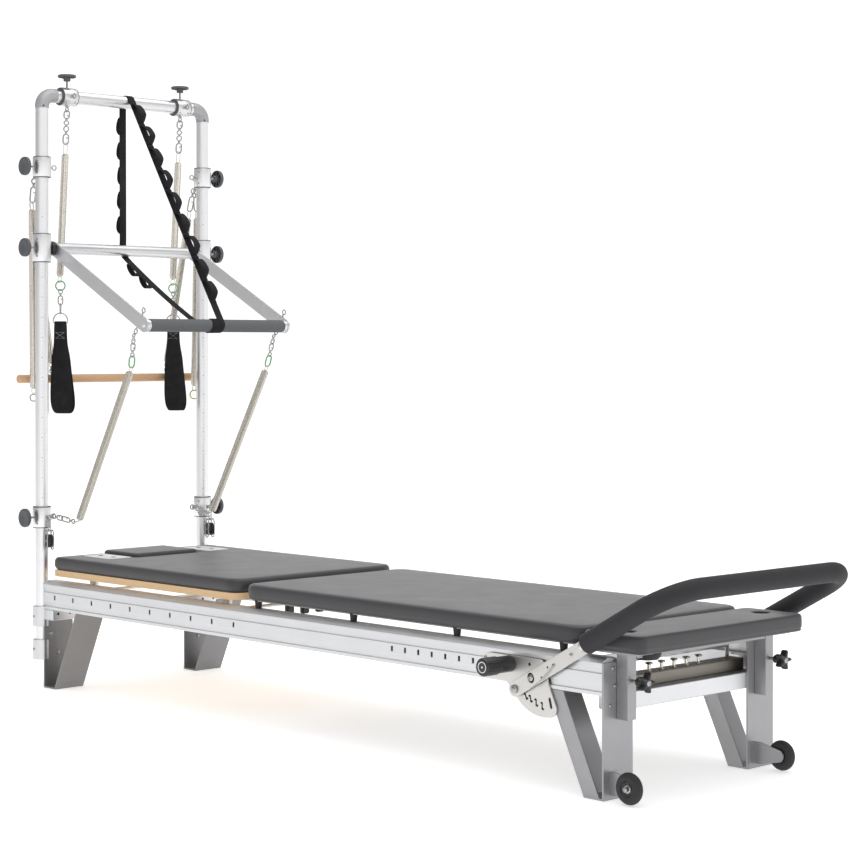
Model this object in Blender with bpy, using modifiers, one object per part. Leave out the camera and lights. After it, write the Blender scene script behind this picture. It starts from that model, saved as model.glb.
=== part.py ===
"""Pilates reformer with a half tower, at its real size.

World frame: metres, +Z up, X along the rails with the tower at -X and the footbar at +X, and Y
across them, with the near side at -Y. The origin is on the floor under the middle of the object.
Places along the rails are given from the tower end of the rails, through along().
"""
import bmesh
import bpy
from math import asin, atan2, cos, degrees, hypot, pi, radians, sin
from mathutils import Matrix, Vector

# Driving dimensions
GAP = 0.0003
FRAME_LENGTH = 2.350
HALF_WIDTH = 0.330
TOWER_X = -1.2467
SIDES = (("near", -1), ("far", 1))

# Rails, beams and legs
RAIL_TOP = 0.327
RAIL_CROWN = 0.338
RAIL_BOTTOM = 0.249
RAIL_WIDTH = 0.055
LEDGE_TOP = 0.290
LEDGE_REACH = 0.020
BEAM_TOP = RAIL_BOTTOM - GAP
HEAD_BEAM_BOTTOM = 0.2145
FOOT_BEAM_BOTTOM = 0.2064
LEG_WIDTH = 0.106
SHEET = 0.005
SOLE = 0.063
LEAN = 0.118
SPRING_BAR_TOP = 0.279
HOOK_PITCH = 0.048

# Tower
POST_X = -0.024
POST_Y = 0.321
TUBE_RADIUS = 0.0208
TOP_TUBE_Z = 1.878
ELBOW_RADIUS = 0.037
POST_BOTTOM = 0.088
COLLAR_RADIUS = 0.0295
COLLAR_BORE = 0.0213
ROLL_COLLAR_Z = 1.648
PUSH_COLLAR_Z = 1.3915
LOWER_COLLAR_Z = 0.5375
ARM_COLLAR_Y = 0.226
KNOB_RADIUS = 0.0295
SPRING_RADIUS = 0.0122

# Push-through bar
PUSH_ARM_Y = 0.274
PUSH_ARM_WIDTH = 0.044
PUSH_TUBE_RADIUS = 0.0187
GRIP_X = 0.462
GRIP_Z = 1.143
GRIP_RADIUS = 0.0198
STRAP_WIDTH = 0.027
STRAP_THICKNESS = 0.0026

# Carriage, mat and platform
PAD_HALF_WIDTH = 0.310
BOARD_BOTTOM = 0.353
BOARD_TOP = 0.373
PAD_TOP = 0.414
HEADREST_TOP = 0.424
HEADREST_END = 0.2125
AXLE_Z = LEDGE_TOP + 0.0205
MAT_BOTTOM = 0.360
MAT_TOP = 0.405
PLATFORM_BOTTOM = 0.355
PLATFORM_TOP = 0.400
PLATFORM_HALF_WIDTH = 0.320
UPRIGHT_Y = 0.268

# Footbar
PIVOT_X = 2.079
PIVOT_Z = 0.237
PLATE_Y = HALF_WIDTH + GAP
BAR_ANGLE = radians(29.0)
BAR_Y = 0.3555
BAR_REACH = 0.580
BAR_CORNER = 0.105
FOAM_START = 0.280
FOAM_RADIUS = 0.0255
BAR_TUBE_RADIUS = 0.0125
PLUNGER_X = 2.052
PLUNGER_Z = 0.296

# Transport wheels
WHEEL_X = 2.428
WHEEL_Z = 0.040
WHEEL_RADIUS = 0.0385
WHEEL_WIDTH = 0.024
WHEEL_Y = {"near": 0.321, "far": 0.270}


def along(distance):
    """World X of a place at this distance from the tower end of the rails."""
    return TOWER_X + distance


# --- scene, collections and materials -------------------------------------------------------

def clear_scene():
    for obj in list(bpy.data.objects):
        bpy.data.objects.remove(obj, do_unlink=True)


def new_collection(name):
    made = bpy.data.collections.new(name)
    bpy.context.scene.collection.children.link(made)
    return made


def material(name, colour, roughness, metallic=0.0):
    made = bpy.data.materials.new(name)
    made.use_nodes = True
    shader = made.node_tree.nodes["Principled BSDF"]
    shader.inputs["Base Color"].default_value = (*colour, 1.0)
    shader.inputs["Roughness"].default_value = roughness
    shader.inputs["Metallic"].default_value = metallic
    made.diffuse_color = (*colour, 1.0)
    return made


clear_scene()
PARTS = new_collection("pilates_reformer")
CUTTERS = new_collection("cutters")
ALUMINIUM = ("aluminium", (0.80, 0.80, 0.81), 0.32, 1.0)
STEEL = ("stainless_steel", (0.72, 0.70, 0.67), 0.28, 1.0)
PAINT = ("grey_paint", (0.24, 0.24, 0.25), 0.45, 0.3)
VINYL = ("dark_grey_vinyl", (0.19, 0.19, 0.20), 0.55, 0.0)
FOAM = ("black_foam", (0.045, 0.045, 0.05), 0.75, 0.0)
GREY_FOAM = ("grey_foam", (0.12, 0.12, 0.13), 0.7, 0.0)
PLASTIC = ("black_plastic", (0.03, 0.03, 0.032), 0.4, 0.0)
KNOB_GREY = ("knob_plastic", (0.11, 0.11, 0.12), 0.5, 0.0)
WOOD = ("beech", (0.66, 0.46, 0.28), 0.5, 0.0)
BIRCH = ("birch_plywood", (0.74, 0.56, 0.36), 0.5, 0.0)
WEBBING = ("black_webbing", (0.02, 0.02, 0.022), 0.8, 0.0)
SPRING_WIRE = ("nickel_wire", (0.62, 0.59, 0.54), 0.3, 1.0)


# --- meshes ----------------------------------------------------------------------------------

def finish_mesh(bm, name):
    bmesh.ops.recalc_face_normals(bm, faces=bm.faces)
    mesh = bpy.data.meshes.new(name)
    bm.to_mesh(mesh)
    bm.free()
    return mesh


def baked(obj, name, matrix):
    """The evaluated mesh of a helper object, welded and moved by a matrix; the helper goes."""
    bpy.context.scene.collection.objects.link(obj)
    graph = bpy.context.evaluated_depsgraph_get()
    mesh = bpy.data.meshes.new_from_object(obj.evaluated_get(graph))
    bpy.data.objects.remove(obj, do_unlink=True)
    bm = bmesh.new()
    bm.from_mesh(mesh)
    bmesh.ops.remove_doubles(bm, verts=bm.verts, dist=0.00001)
    bmesh.ops.dissolve_degenerate(bm, edges=bm.edges, dist=0.00001)
    bmesh.ops.transform(bm, matrix=matrix, verts=bm.verts)
    return finish_mesh(bm, name)


def box(low, high, bevel=0.0):
    bm = bmesh.new()
    bmesh.ops.create_cube(bm, size=1.0)
    size = [high[i] - low[i] for i in range(3)]
    middle = [(high[i] + low[i]) / 2 for i in range(3)]
    bmesh.ops.scale(bm, vec=size, verts=bm.verts)
    bmesh.ops.translate(bm, vec=middle, verts=bm.verts)
    if bevel:
        bmesh.ops.bevel(bm, geom=list(bm.edges), offset=bevel, segments=1, affect="EDGES")
    return finish_mesh(bm, "box")


def rod(start, end, radius, end_radius=None, sides=20):
    start = Vector(start)
    end = Vector(end)
    run = end - start
    bm = bmesh.new()
    bmesh.ops.create_cone(bm, cap_ends=True, segments=sides, radius1=radius,
                          radius2=radius if end_radius is None else end_radius, depth=run.length)
    turn = run.to_track_quat("Z", "Y").to_matrix().to_4x4()
    bmesh.ops.transform(bm, matrix=Matrix.Translation((start + end) / 2) @ turn, verts=bm.verts)
    return finish_mesh(bm, "rod")


def axis_matrix(axis):
    """Turns a drawing plane so that its own Z lies along a world axis."""
    columns = {
        "X": ((0, 1, 0), (0, 0, 1), (1, 0, 0)),
        "Y": ((1, 0, 0), (0, 0, 1), (0, -1, 0)),
        "Z": ((1, 0, 0), (0, 1, 0), (0, 0, 1)),
    }[axis]
    return Matrix(columns).transposed().to_4x4()


def sheet(outlines, axis, low, high):
    """Closed flat outlines, drawn across an axis, made solid between two heights on it."""
    curve = bpy.data.curves.new("outline", "CURVE")
    curve.dimensions = "2D"
    curve.fill_mode = "BOTH"
    curve.extrude = abs(high - low) / 2
    for points in outlines:
        spline = curve.splines.new("POLY")
        spline.points.add(len(points) - 1)
        for place, (u, v) in zip(spline.points, points):
            place.co = (u, v, 0.0, 1.0)
        spline.use_cyclic_u = True
    middle = (low + high) / 2
    shift = Matrix.Translation([middle if axis == name else 0.0 for name in "XYZ"])
    return baked(bpy.data.objects.new("outline", curve), "sheet", shift @ axis_matrix(axis))


def tube(points, radius, resolution=4):
    curve = bpy.data.curves.new("path", "CURVE")
    curve.dimensions = "3D"
    curve.bevel_depth = radius
    curve.bevel_resolution = resolution
    curve.use_fill_caps = True
    spline = curve.splines.new("POLY")
    spline.points.add(len(points) - 1)
    for place, point in zip(spline.points, points):
        place.co = (*point, 1.0)
    return baked(bpy.data.objects.new("path", curve), "tube", Matrix.Identity(4))


def turned(profile, closed, direction, origin, steps=20):
    """A profile of (radius, height) turned round its axis, which then points along direction."""
    mesh = bpy.data.meshes.new("profile")
    count = len(profile)
    edges = [(i, i + 1) for i in range(count - 1)]
    if closed:
        edges.append((count - 1, 0))
    mesh.from_pydata([(radius, 0.0, height) for radius, height in profile], edges, [])
    obj = bpy.data.objects.new("profile", mesh)
    screw = obj.modifiers.new("turn", "SCREW")
    screw.steps = steps
    screw.render_steps = steps
    screw.use_merge_vertices = True
    screw.merge_threshold = 0.0001
    turn = Vector(direction).to_track_quat("Z", "Y").to_matrix().to_4x4()
    return baked(obj, "turned", Matrix.Translation(origin) @ turn)


def arc(centre, radius, start, end, count):
    """Points on an arc, from one angle to another in degrees, both ends included."""
    angles = [radians(start + (end - start) * i / count) for i in range(count + 1)]
    return [(centre[0] + radius * cos(a), centre[1] + radius * sin(a)) for a in angles]


def rounded(low, high, radii, count=4):
    """A rectangle with rounded corners: radii at its low-u end and at its high-u end."""
    near, far = radii
    points = arc((high[0] - far, high[1] - far), far, 0, 90, count)
    points += arc((low[0] + near, high[1] - near), near, 90, 180, count)
    points += arc((low[0] + near, low[1] + near), near, 180, 270, count)
    points += arc((high[0] - far, low[1] + far), far, 270, 360, count)
    return points


# --- objects ---------------------------------------------------------------------------------

MATERIALS = {}


def node(name, mesh, look, origin=(0.0, 0.0, 0.0)):
    """One piece of the reformer, with its origin where it is fixed or turns."""
    if look[0] not in MATERIALS:
        MATERIALS[look[0]] = material(*look)
    mesh.name = name
    mesh.transform(Matrix.Translation(-Vector(origin)))
    mesh.materials.clear()
    mesh.materials.append(MATERIALS[look[0]])
    obj = bpy.data.objects.new(name, mesh)
    obj.location = origin
    PARTS.objects.link(obj)
    mesh.shade_smooth()
    mesh.set_sharp_from_angle(angle=radians(35))
    return obj


def boolean(obj, mesh, operation):
    guide = bpy.data.objects.new(obj.name + "_" + operation.lower(), mesh)
    guide.hide_render = True
    guide.display_type = "WIRE"
    CUTTERS.objects.link(guide)
    change = obj.modifiers.new(operation.lower(), "BOOLEAN")
    change.operation = operation
    change.solver = "EXACT"
    change.object = guide


def unite(obj, *meshes):
    for mesh in meshes:
        boolean(obj, mesh, "UNION")


def cut(obj, *meshes):
    for mesh in meshes:
        boolean(obj, mesh, "DIFFERENCE")


# --- base frame ------------------------------------------------------------------------------

def rail_section(side):
    """Outer face with a lip, two grooves and a middle band; crowned top; roller ledge inside."""
    lip = 0.009
    groove = 0.016
    depth = 0.004
    inner = RAIL_WIDTH
    steps = [(0.0, RAIL_BOTTOM), (0.0, RAIL_BOTTOM + lip), (depth, RAIL_BOTTOM + lip)]
    steps += [(depth, RAIL_BOTTOM + lip + groove), (0.0, RAIL_BOTTOM + lip + groove)]
    steps += [(0.0, RAIL_TOP - lip - groove), (depth, RAIL_TOP - lip - groove)]
    steps += [(depth, RAIL_TOP - lip), (0.0, RAIL_TOP - lip), (0.0, RAIL_TOP)]
    steps += [(0.010, RAIL_TOP + 0.006), (0.020, RAIL_CROWN), (inner - 0.008, RAIL_CROWN)]
    steps += [(inner, RAIL_CROWN - 0.005), (inner, LEDGE_TOP)]
    steps += [(inner + LEDGE_REACH, LEDGE_TOP), (inner + LEDGE_REACH, LEDGE_TOP - 0.006)]
    steps += [(inner, LEDGE_TOP - 0.006), (inner, RAIL_BOTTOM)]
    return [(side * (HALF_WIDTH - reach), height) for reach, height in steps]


def make_rails():
    middle = (RAIL_TOP + RAIL_BOTTOM) / 2
    tower_slots = [0.061 + 0.0995 * i for i in range(10)]
    foot_slots = [1.618 + 0.050 * i for i in range(7)]
    for label, side in SIDES:
        mesh = sheet([rail_section(side)], "X", along(0), along(FRAME_LENGTH - GAP))
        rail = node("rail_" + label, mesh, ALUMINIUM)
        outer = side * HALF_WIDTH
        for place in tower_slots + foot_slots:
            low = (along(place - 0.004), min(outer - side * 0.007, outer + side * 0.01),
                   middle - 0.007)
            high = (along(place + 0.004), max(outer - side * 0.007, outer + side * 0.01),
                    middle + 0.007)
            cut(rail, box(low, high))


def make_beams():
    low = (along(0), -HALF_WIDTH, HEAD_BEAM_BOTTOM)
    node("head_beam", box(low, (along(0.050), HALF_WIDTH, BEAM_TOP), 0.002), ALUMINIUM)
    inner = HALF_WIDTH - RAIL_WIDTH
    low = (along(2.290), -inner, FOOT_BEAM_BOTTOM)
    high = (along(FRAME_LENGTH - GAP), inner, BEAM_TOP)
    node("foot_beam", box(low, high, 0.002), ALUMINIUM)

    inside = HALF_WIDTH - RAIL_WIDTH - LEDGE_REACH - 0.001
    low = (along(2.272), -inside, RAIL_BOTTOM)
    bar = node("spring_bar", box(low, (along(2.320), inside, SPRING_BAR_TOP), 0.002), ALUMINIUM)
    for i in range(5):
        place = Vector((along(2.297), HOOK_PITCH * (i - 2), SPRING_BAR_TOP))
        stem = rod(place - Vector((0, 0, 0.004)), place + Vector((0, 0, 0.024)), 0.004, sides=12)
        cap = rod(place + Vector((0, 0, 0.021)), place + Vector((0, 0, 0.027)), 0.0095, 0.007, 16)
        unite(bar, stem, cap)


def leg_outline(outer, inward, plate_top):
    """Bent sheet: an upright plate, a sole and a plate that leans in under the rail."""
    slope = LEAN / BEAM_TOP
    thick = SHEET * hypot(LEAN, BEAM_TOP) / BEAM_TOP
    path = [(0.0, plate_top), (0.0, 0.0), (SOLE, 0.0), (SOLE + LEAN, BEAM_TOP)]
    path += [(SOLE + LEAN - thick, BEAM_TOP), (SOLE - thick + slope * SHEET, SHEET)]
    path += [(SHEET, SHEET), (SHEET, plate_top)]
    return [(outer + inward * reach, height) for reach, height in path]


def leg_span(side):
    edges = sorted((side * HALF_WIDTH, side * (HALF_WIDTH - LEG_WIDTH)))
    return edges[0], edges[1]


def make_legs():
    for label, side in SIDES:
        low, high = leg_span(side)
        outline = leg_outline(along(0), 1, HEAD_BEAM_BOTTOM - GAP)
        node("leg_head_" + label, sheet([outline], "Y", low, high), PAINT)

        outer = FRAME_LENGTH + SHEET
        outline = leg_outline(along(outer), -1, RAIL_TOP)
        leg = node("leg_foot_" + label, sheet([outline], "Y", low, high), PAINT)
        flange = [(SOLE - 0.001, 0.001), (SOLE + LEAN - 0.001, BEAM_TOP - 0.001)]
        flange += [(SOLE + LEAN - 0.050, BEAM_TOP - 0.001), (SOLE - 0.050, 0.001)]
        flange = [(along(outer - reach), height) for reach, height in flange]
        unite(leg, sheet([flange], "Y", low + 0.0004, low + 0.0040))
        wheel = side * WHEEL_Y[label]
        inner = wheel - side * (WHEEL_WIDTH / 2 + 0.0015)
        plate_y = sorted((inner, inner - side * 0.004))
        taper = [(outer - 0.003, 0.012), (2.372, 0.012)]
        taper += arc((WHEEL_X, WHEEL_Z), 0.0165, -65, 65, 6)
        taper += [(2.372, 0.068), (outer - 0.003, 0.068)]
        bracket = sheet([[(along(x), z) for x, z in taper]], "Y", *plate_y)
        tab_y = sorted((inner - side * 0.002, inner - side * 0.028))
        tab = box((along(outer - 0.002), tab_y[0], 0.013), (along(outer + 0.002), tab_y[1], 0.067))
        start = (along(WHEEL_X), inner - side * 0.002, WHEEL_Z)
        outside = wheel + side * (WHEEL_WIDTH / 2 + 0.001)
        pin = rod(start, (along(WHEEL_X), outside, WHEEL_Z), 0.0040, sides=12)
        head = rod((along(WHEEL_X), outside - side * 0.0002, WHEEL_Z),
                   (along(WHEEL_X), outside + side * 0.003, WHEEL_Z), 0.0065, sides=12)
        unite(leg, bracket, tab, pin, head)


def make_wheels():
    half = WHEEL_WIDTH / 2
    tread = arc((WHEEL_RADIUS - half, 0.0), half, 90, -90, 5)
    profile = [(0.0045, half - 0.002), (0.016, half - 0.002), (0.017, half)]
    profile += tread + [(0.017, -half), (0.016, -half + 0.002), (0.0045, -half + 0.002)]
    for label, side in SIDES:
        origin = (along(WHEEL_X), side * WHEEL_Y[label], WHEEL_Z)
        mesh = turned(profile, True, (0, 1, 0), origin, 24)
        node("transport_wheel_" + label, mesh, PLASTIC, origin)


# --- tower -----------------------------------------------------------------------------------

def make_tower():
    post_top = TOP_TUBE_Z - ELBOW_RADIUS
    for label, side in SIDES:
        foot = (along(POST_X), side * POST_Y, POST_BOTTOM)
        head = (along(POST_X), side * POST_Y, post_top - 0.004 - GAP)
        node("tower_post_" + label, rod(foot, head, TUBE_RADIUS), ALUMINIUM)

    centre = POST_Y - ELBOW_RADIUS
    bend = [(POST_Y, post_top - 0.004)] + arc((centre, post_top), ELBOW_RADIUS, 0, 90, 5)
    path = [(-y, z) for y, z in bend] + list(reversed(bend))
    points = [(along(POST_X), y, z) for y, z in path]
    node("tower_top_bar", tube(points, TUBE_RADIUS, 3), ALUMINIUM)

    for label, side in SIDES:
        place = Vector((along(POST_X), side * POST_Y, 0.0))
        clamp = None
        for low, high in ((POST_BOTTOM, 0.151), (0.193, 0.256)):
            sleeve = collar_ring(place + Vector((0, 0, (low + high) / 2)), high - low, (0, 0, 1))
            if clamp is None:
                clamp = node("post_clamp_" + label, sleeve, ALUMINIUM)
            else:
                unite(clamp, sleeve)
        edge = sorted((side * (HALF_WIDTH - 0.001), side * (HALF_WIDTH - 0.040)))
        low = (along(-0.0027), edge[0], POST_BOTTOM + 0.002)
        unite(clamp, box(low, (along(0.004), edge[1], 0.254)))
        cut(clamp, box((along(-GAP), -0.5, 0.0), (along(0.1), 0.5, 0.4)))


def collar_ring(middle, length, direction):
    half = length / 2
    bevel = 0.0015
    profile = [(COLLAR_BORE, half), (COLLAR_RADIUS - bevel, half), (COLLAR_RADIUS, half - bevel)]
    profile += [(COLLAR_RADIUS, bevel - half), (COLLAR_RADIUS - bevel, -half), (COLLAR_BORE, -half)]
    return turned(profile, True, direction, middle, 24)


def knob(base, direction, reach):
    """A round clamp knob: stem, hub and a dished disc, from its base along direction."""
    disc = reach + 0.006
    back = reach - 0.006
    profile = [(0.0, disc - 0.001), (0.020, disc - 0.001), (0.026, disc), (KNOB_RADIUS, disc - 0.003)]
    profile += [(KNOB_RADIUS, back + 0.002), (KNOB_RADIUS - 0.002, back), (0.010, back)]
    profile += [(0.009, back - 0.013), (0.003, back - 0.014), (0.003, GAP), (0.0, GAP)]
    return turned(profile, False, direction, base, 16)


def make_collars():
    """Six post collars and two on the top bar, each with its clamp knob and its eye studs."""
    for label, side in SIDES:
        post = Vector((along(POST_X), side * POST_Y, 0.0))
        outward = Vector((0, side, 0))
        front = Vector((1, 0, 0))
        for kind, height, length in (("roll", ROLL_COLLAR_Z, 0.062),
                                     ("push", PUSH_COLLAR_Z, 0.087),
                                     ("lower", LOWER_COLLAR_Z, 0.063)):
            middle = post + Vector((0, 0, height))
            name = kind + "_collar_" + label
            collar = node(name, collar_ring(middle, length, (0, 0, 1)), ALUMINIUM, middle)
            wall = COLLAR_RADIUS - 0.003
            if kind == "push":
                start = middle - outward * wall
                flange = rod(start, middle - outward * 0.0405, 0.0225)
                pin = rod(middle - outward * 0.040, middle - outward * 0.058, 0.008, sides=16)
                unite(collar, flange, pin)
            else:
                unite(collar, rod(middle - outward * wall, middle - outward * 0.042, 0.004, sides=12))
            if kind == "roll":
                unite(collar, rod(middle - front * wall, middle - front * 0.038, 0.004, sides=12))
            if kind == "lower":
                unite(collar, rod(middle + front * wall, middle + front * 0.038, 0.004, sides=12))
            base = middle + outward * COLLAR_RADIUS
            clamp = knob(base, outward, 0.0345)
            node(kind + "_knob_" + label, clamp, KNOB_GREY, base)

        middle = Vector((along(POST_X), side * ARM_COLLAR_Y, TOP_TUBE_Z))
        name = "arm_collar_" + label
        collar = node(name, collar_ring(middle, 0.052, (0, 1, 0)), ALUMINIUM, middle)
        down = Vector((0, 0, -1))
        unite(collar, rod(middle + down * 0.0265, middle + down * 0.036, 0.004, sides=12))
        unite(collar, rod(middle + front * 0.0265, middle + front * 0.038, 0.004, sides=12))
        base = middle - down * COLLAR_RADIUS
        node("arm_knob_" + label, knob(base, (0, 0, 1), 0.0355), KNOB_GREY, base)


# --- push-through bar, its springs and its safety strap --------------------------------------

def push_pivot():
    return Vector((along(POST_X), 0.0, PUSH_COLLAR_Z))


def capsule(start, end, width, count=10):
    """Outline of a flat bar with round ends between two points."""
    tilt = atan2(end[1] - start[1], end[0] - start[0]) * 180 / pi
    points = arc(end, width / 2, tilt - 90, tilt + 90, count)
    return points + arc(start, width / 2, tilt + 90, tilt + 270, count)


def make_push_bar():
    pivot = push_pivot()
    grip = (along(GRIP_X), GRIP_Z)
    outline = capsule((pivot.x, pivot.z), grip, PUSH_ARM_WIDTH)
    arm_outer = PUSH_ARM_Y + 0.006
    frame = node("push_bar_frame", sheet([outline], "Y", -arm_outer, -PUSH_ARM_Y), ALUMINIUM, pivot)
    unite(frame, sheet([outline], "Y", PUSH_ARM_Y, arm_outer))
    across = Vector((0, PUSH_ARM_Y + 0.001, 0))
    unite(frame, rod(pivot - across, pivot + across, PUSH_TUBE_RADIUS))
    middle = Vector((grip[0], 0.0, grip[1]))
    unite(frame, rod(middle - across, middle + across, 0.010, sides=20))
    for label, side in SIDES:
        start = middle + Vector((0, side * 0.2625, 0))
        unite(frame, rod(start, middle + Vector((0, side * (PUSH_ARM_Y + 0.003), 0)), 0.018, sides=20))
        hole = pivot + Vector((0, side * 0.3, 0))
        cut(frame, rod(pivot + Vector((0, side * 0.260, 0)), hole, 0.0083, sides=16))

    half = 0.262
    profile = [(0.0103, half), (GRIP_RADIUS - 0.002, half), (GRIP_RADIUS, half - 0.002)]
    profile += [(GRIP_RADIUS, 0.002 - half), (GRIP_RADIUS - 0.002, -half), (0.0103, -half)]
    mesh = turned(profile, True, (0, 1, 0), middle)
    node("push_bar_grip", mesh, GREY_FOAM, middle)


def belt(circles, grow, count=6):
    """A belt round circles given in clockwise order, with every radius made larger by grow."""
    total = len(circles)
    leaving = []
    for i in range(total):
        (ax, az, ar), (bx, bz, br) = circles[i], circles[(i + 1) % total]
        heading = atan2(bz - az, bx - ax)
        leaving.append(heading + pi / 2 - asin((br - ar) / hypot(bx - ax, bz - az)))
    points = []
    for i in range(total):
        x, z, radius = circles[i]
        start = leaving[i - 1]
        turn = (start - leaving[i]) % (2 * pi)
        points += arc((x, z), radius + grow, degrees(start), degrees(start - turn), count)
    return points


def make_strap():
    """The safety strap is a belt round the top bar, the grip and the push bar's own tube."""
    clear = STRAP_THICKNESS / 2 + 0.0008
    circles = [
        (along(POST_X), TOP_TUBE_Z, TUBE_RADIUS + clear),
        (along(GRIP_X), GRIP_Z, GRIP_RADIUS + clear),
        (along(POST_X), PUSH_COLLAR_Z, PUSH_TUBE_RADIUS + clear),
    ]
    outer = belt(circles, STRAP_THICKNESS / 2)
    inner = belt(circles, -STRAP_THICKNESS / 2)
    mesh = sheet([outer, inner], "Y", -STRAP_WIDTH / 2, STRAP_WIDTH / 2)
    node("safety_strap", mesh, WEBBING)


def spring_with_links(top_link, top, bottom, bottom_link):
    """A closed coil stood for by its outer cylinder, with a thin link at each end."""
    coil = rod(top, bottom, SPRING_RADIUS, sides=16)
    run = (Vector(bottom) - Vector(top)).normalized()
    links = [rod(top_link, Vector(top) + run * 0.004, 0.003, sides=8)]
    links.append(rod(Vector(bottom) - run * 0.004, bottom_link, 0.003, sides=8))
    return coil, links


def make_springs():
    for label, side in SIDES:
        coil, links = spring_with_links(
            (along(0.398), side * 0.268, 1.075), (along(0.372), side * 0.268, 0.996),
            (along(0.105), side * 0.265, 0.538), (along(0.080), side * 0.262, 0.530))
        spring = node("push_spring_" + label, coil, SPRING_WIRE, (along(0.406), side * 0.268, 1.10))
        unite(spring, *links)

        y = side * ARM_COLLAR_Y
        pin = (along(POST_X), y, 1.836)
        coil, links = spring_with_links(
            pin, (along(-0.034), y, 1.691), (along(-0.0635), y, 1.309), (along(-0.0605), y, 1.288))
        spring = node("arm_spring_" + label, coil, SPRING_WIRE, pin)
        unite(spring, *links)

        top = (along(-0.068), side * 0.318, 1.600)
        coil, links = spring_with_links(
            top, (along(-0.092), side * 0.313, 1.509), (along(-0.105), side * 0.233, 1.030),
            (along(-0.106), side * 0.230, 0.9895))
        spring = node("roll_spring_" + label, coil, SPRING_WIRE, top)
        unite(spring, *links)


def make_hand_loops():
    """A padded loop that hangs shut, its opening running across the rails' direction."""
    x = along(-0.0605)
    lower = 0.889
    outer = arc((x, lower), 0.0255, 180, 360, 12)
    outer += [(x + 0.0235, 0.960), (x + 0.0155, 1.060), (x + 0.008, 1.110), (x + 0.006, 1.152)]
    outer += [(x - 0.006, 1.152), (x - 0.008, 1.110), (x - 0.0155, 1.060), (x - 0.0235, 0.960)]
    inner = arc((x, lower + 0.004), 0.0125, 180, 360, 10)
    inner += [(x + 0.0095, 0.960), (x + 0.001, 1.050), (x - 0.001, 1.050), (x - 0.0095, 0.960)]
    for label, side in SIDES:
        y = side * ARM_COLLAR_Y
        half = 0.024
        ring = (x, y, 1.275)
        loop = node("hand_loop_" + label, sheet([outer, inner], "Y", y - half, y + half), WEBBING, ring)
        unite(loop, rod(ring, (x, y, 1.148), 0.003, sides=8))


def make_roll_bar():
    x = along(-0.106)
    mesh = rod((x, -0.355, 0.9745), (x, 0.355, 0.9745), 0.0135)
    node("roll_down_bar", mesh, WOOD, (x, 0.0, 0.9745))


# --- carriage, mat and standing platform -----------------------------------------------------

def make_carriage():
    start = 0.025
    end = 0.945
    outline = rounded((along(start), -PAD_HALF_WIDTH), (along(end), PAD_HALF_WIDTH), (0.012, 0.045))
    board = node("carriage_board", sheet([outline], "Z", BOARD_BOTTOM, BOARD_TOP), BIRCH)
    axles = (("rear", 0.150), ("front", 0.820))
    for label, side in SIDES:
        for name, place in axles:
            edge = sorted((side * 0.236, side * 0.249))
            hanger = box((along(place - 0.012), edge[0], AXLE_Z - 0.010),
                         (along(place + 0.012), edge[1], BOARD_BOTTOM + 0.004))
            unite(board, hanger)
    for name, place in axles:
        middle = Vector((along(place), 0.0, AXLE_Z))
        bore = Vector((0, 0.260, 0))
        half = Vector((0, 0.269, 0))
        cut(board, rod(middle - bore, middle + bore, 0.0056, sides=12))
        rod_mesh = rod(middle - half, middle + half, 0.005, sides=12)
        axle = node("carriage_axle_" + name, rod_mesh, STEEL, middle)
        for label, side in SIDES:
            inner = middle + Vector((0, side * 0.2565, 0))
            unite(axle, rod(inner, middle + Vector((0, side * 0.2705, 0)), 0.020))

    pad = node("carriage_pad", sheet([outline], "Z", BOARD_TOP + GAP, PAD_TOP), VINYL)
    half = 0.124
    cut(pad, box((along(0.0), -half, BOARD_TOP - 0.01), (along(HEADREST_END + 0.001), half, 0.5)))
    hinge = (along(HEADREST_END), 0.0, PAD_TOP)
    outline = rounded((along(start), -half + 0.002), (along(HEADREST_END - 0.001), half - 0.002),
                      (0.015, 0.008))
    node("headrest", sheet([outline], "Z", BOARD_TOP + GAP * 2, HEADREST_TOP), VINYL, hinge)


def make_mat():
    outline = rounded((along(0.972), -PAD_HALF_WIDTH), (along(2.270), PAD_HALF_WIDTH), (0.045, 0.045))
    mat = node("mat", sheet([outline], "Z", MAT_BOTTOM, MAT_TOP), VINYL)
    for place in (1.022, 1.425, 1.822, 2.192):
        for label, side in SIDES:
            y = side * 0.291
            foot = (along(place), y, RAIL_CROWN + GAP)
            unite(mat, rod(foot, (along(place), y, MAT_BOTTOM + 0.003), 0.0085, 0.0115, 14))


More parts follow.
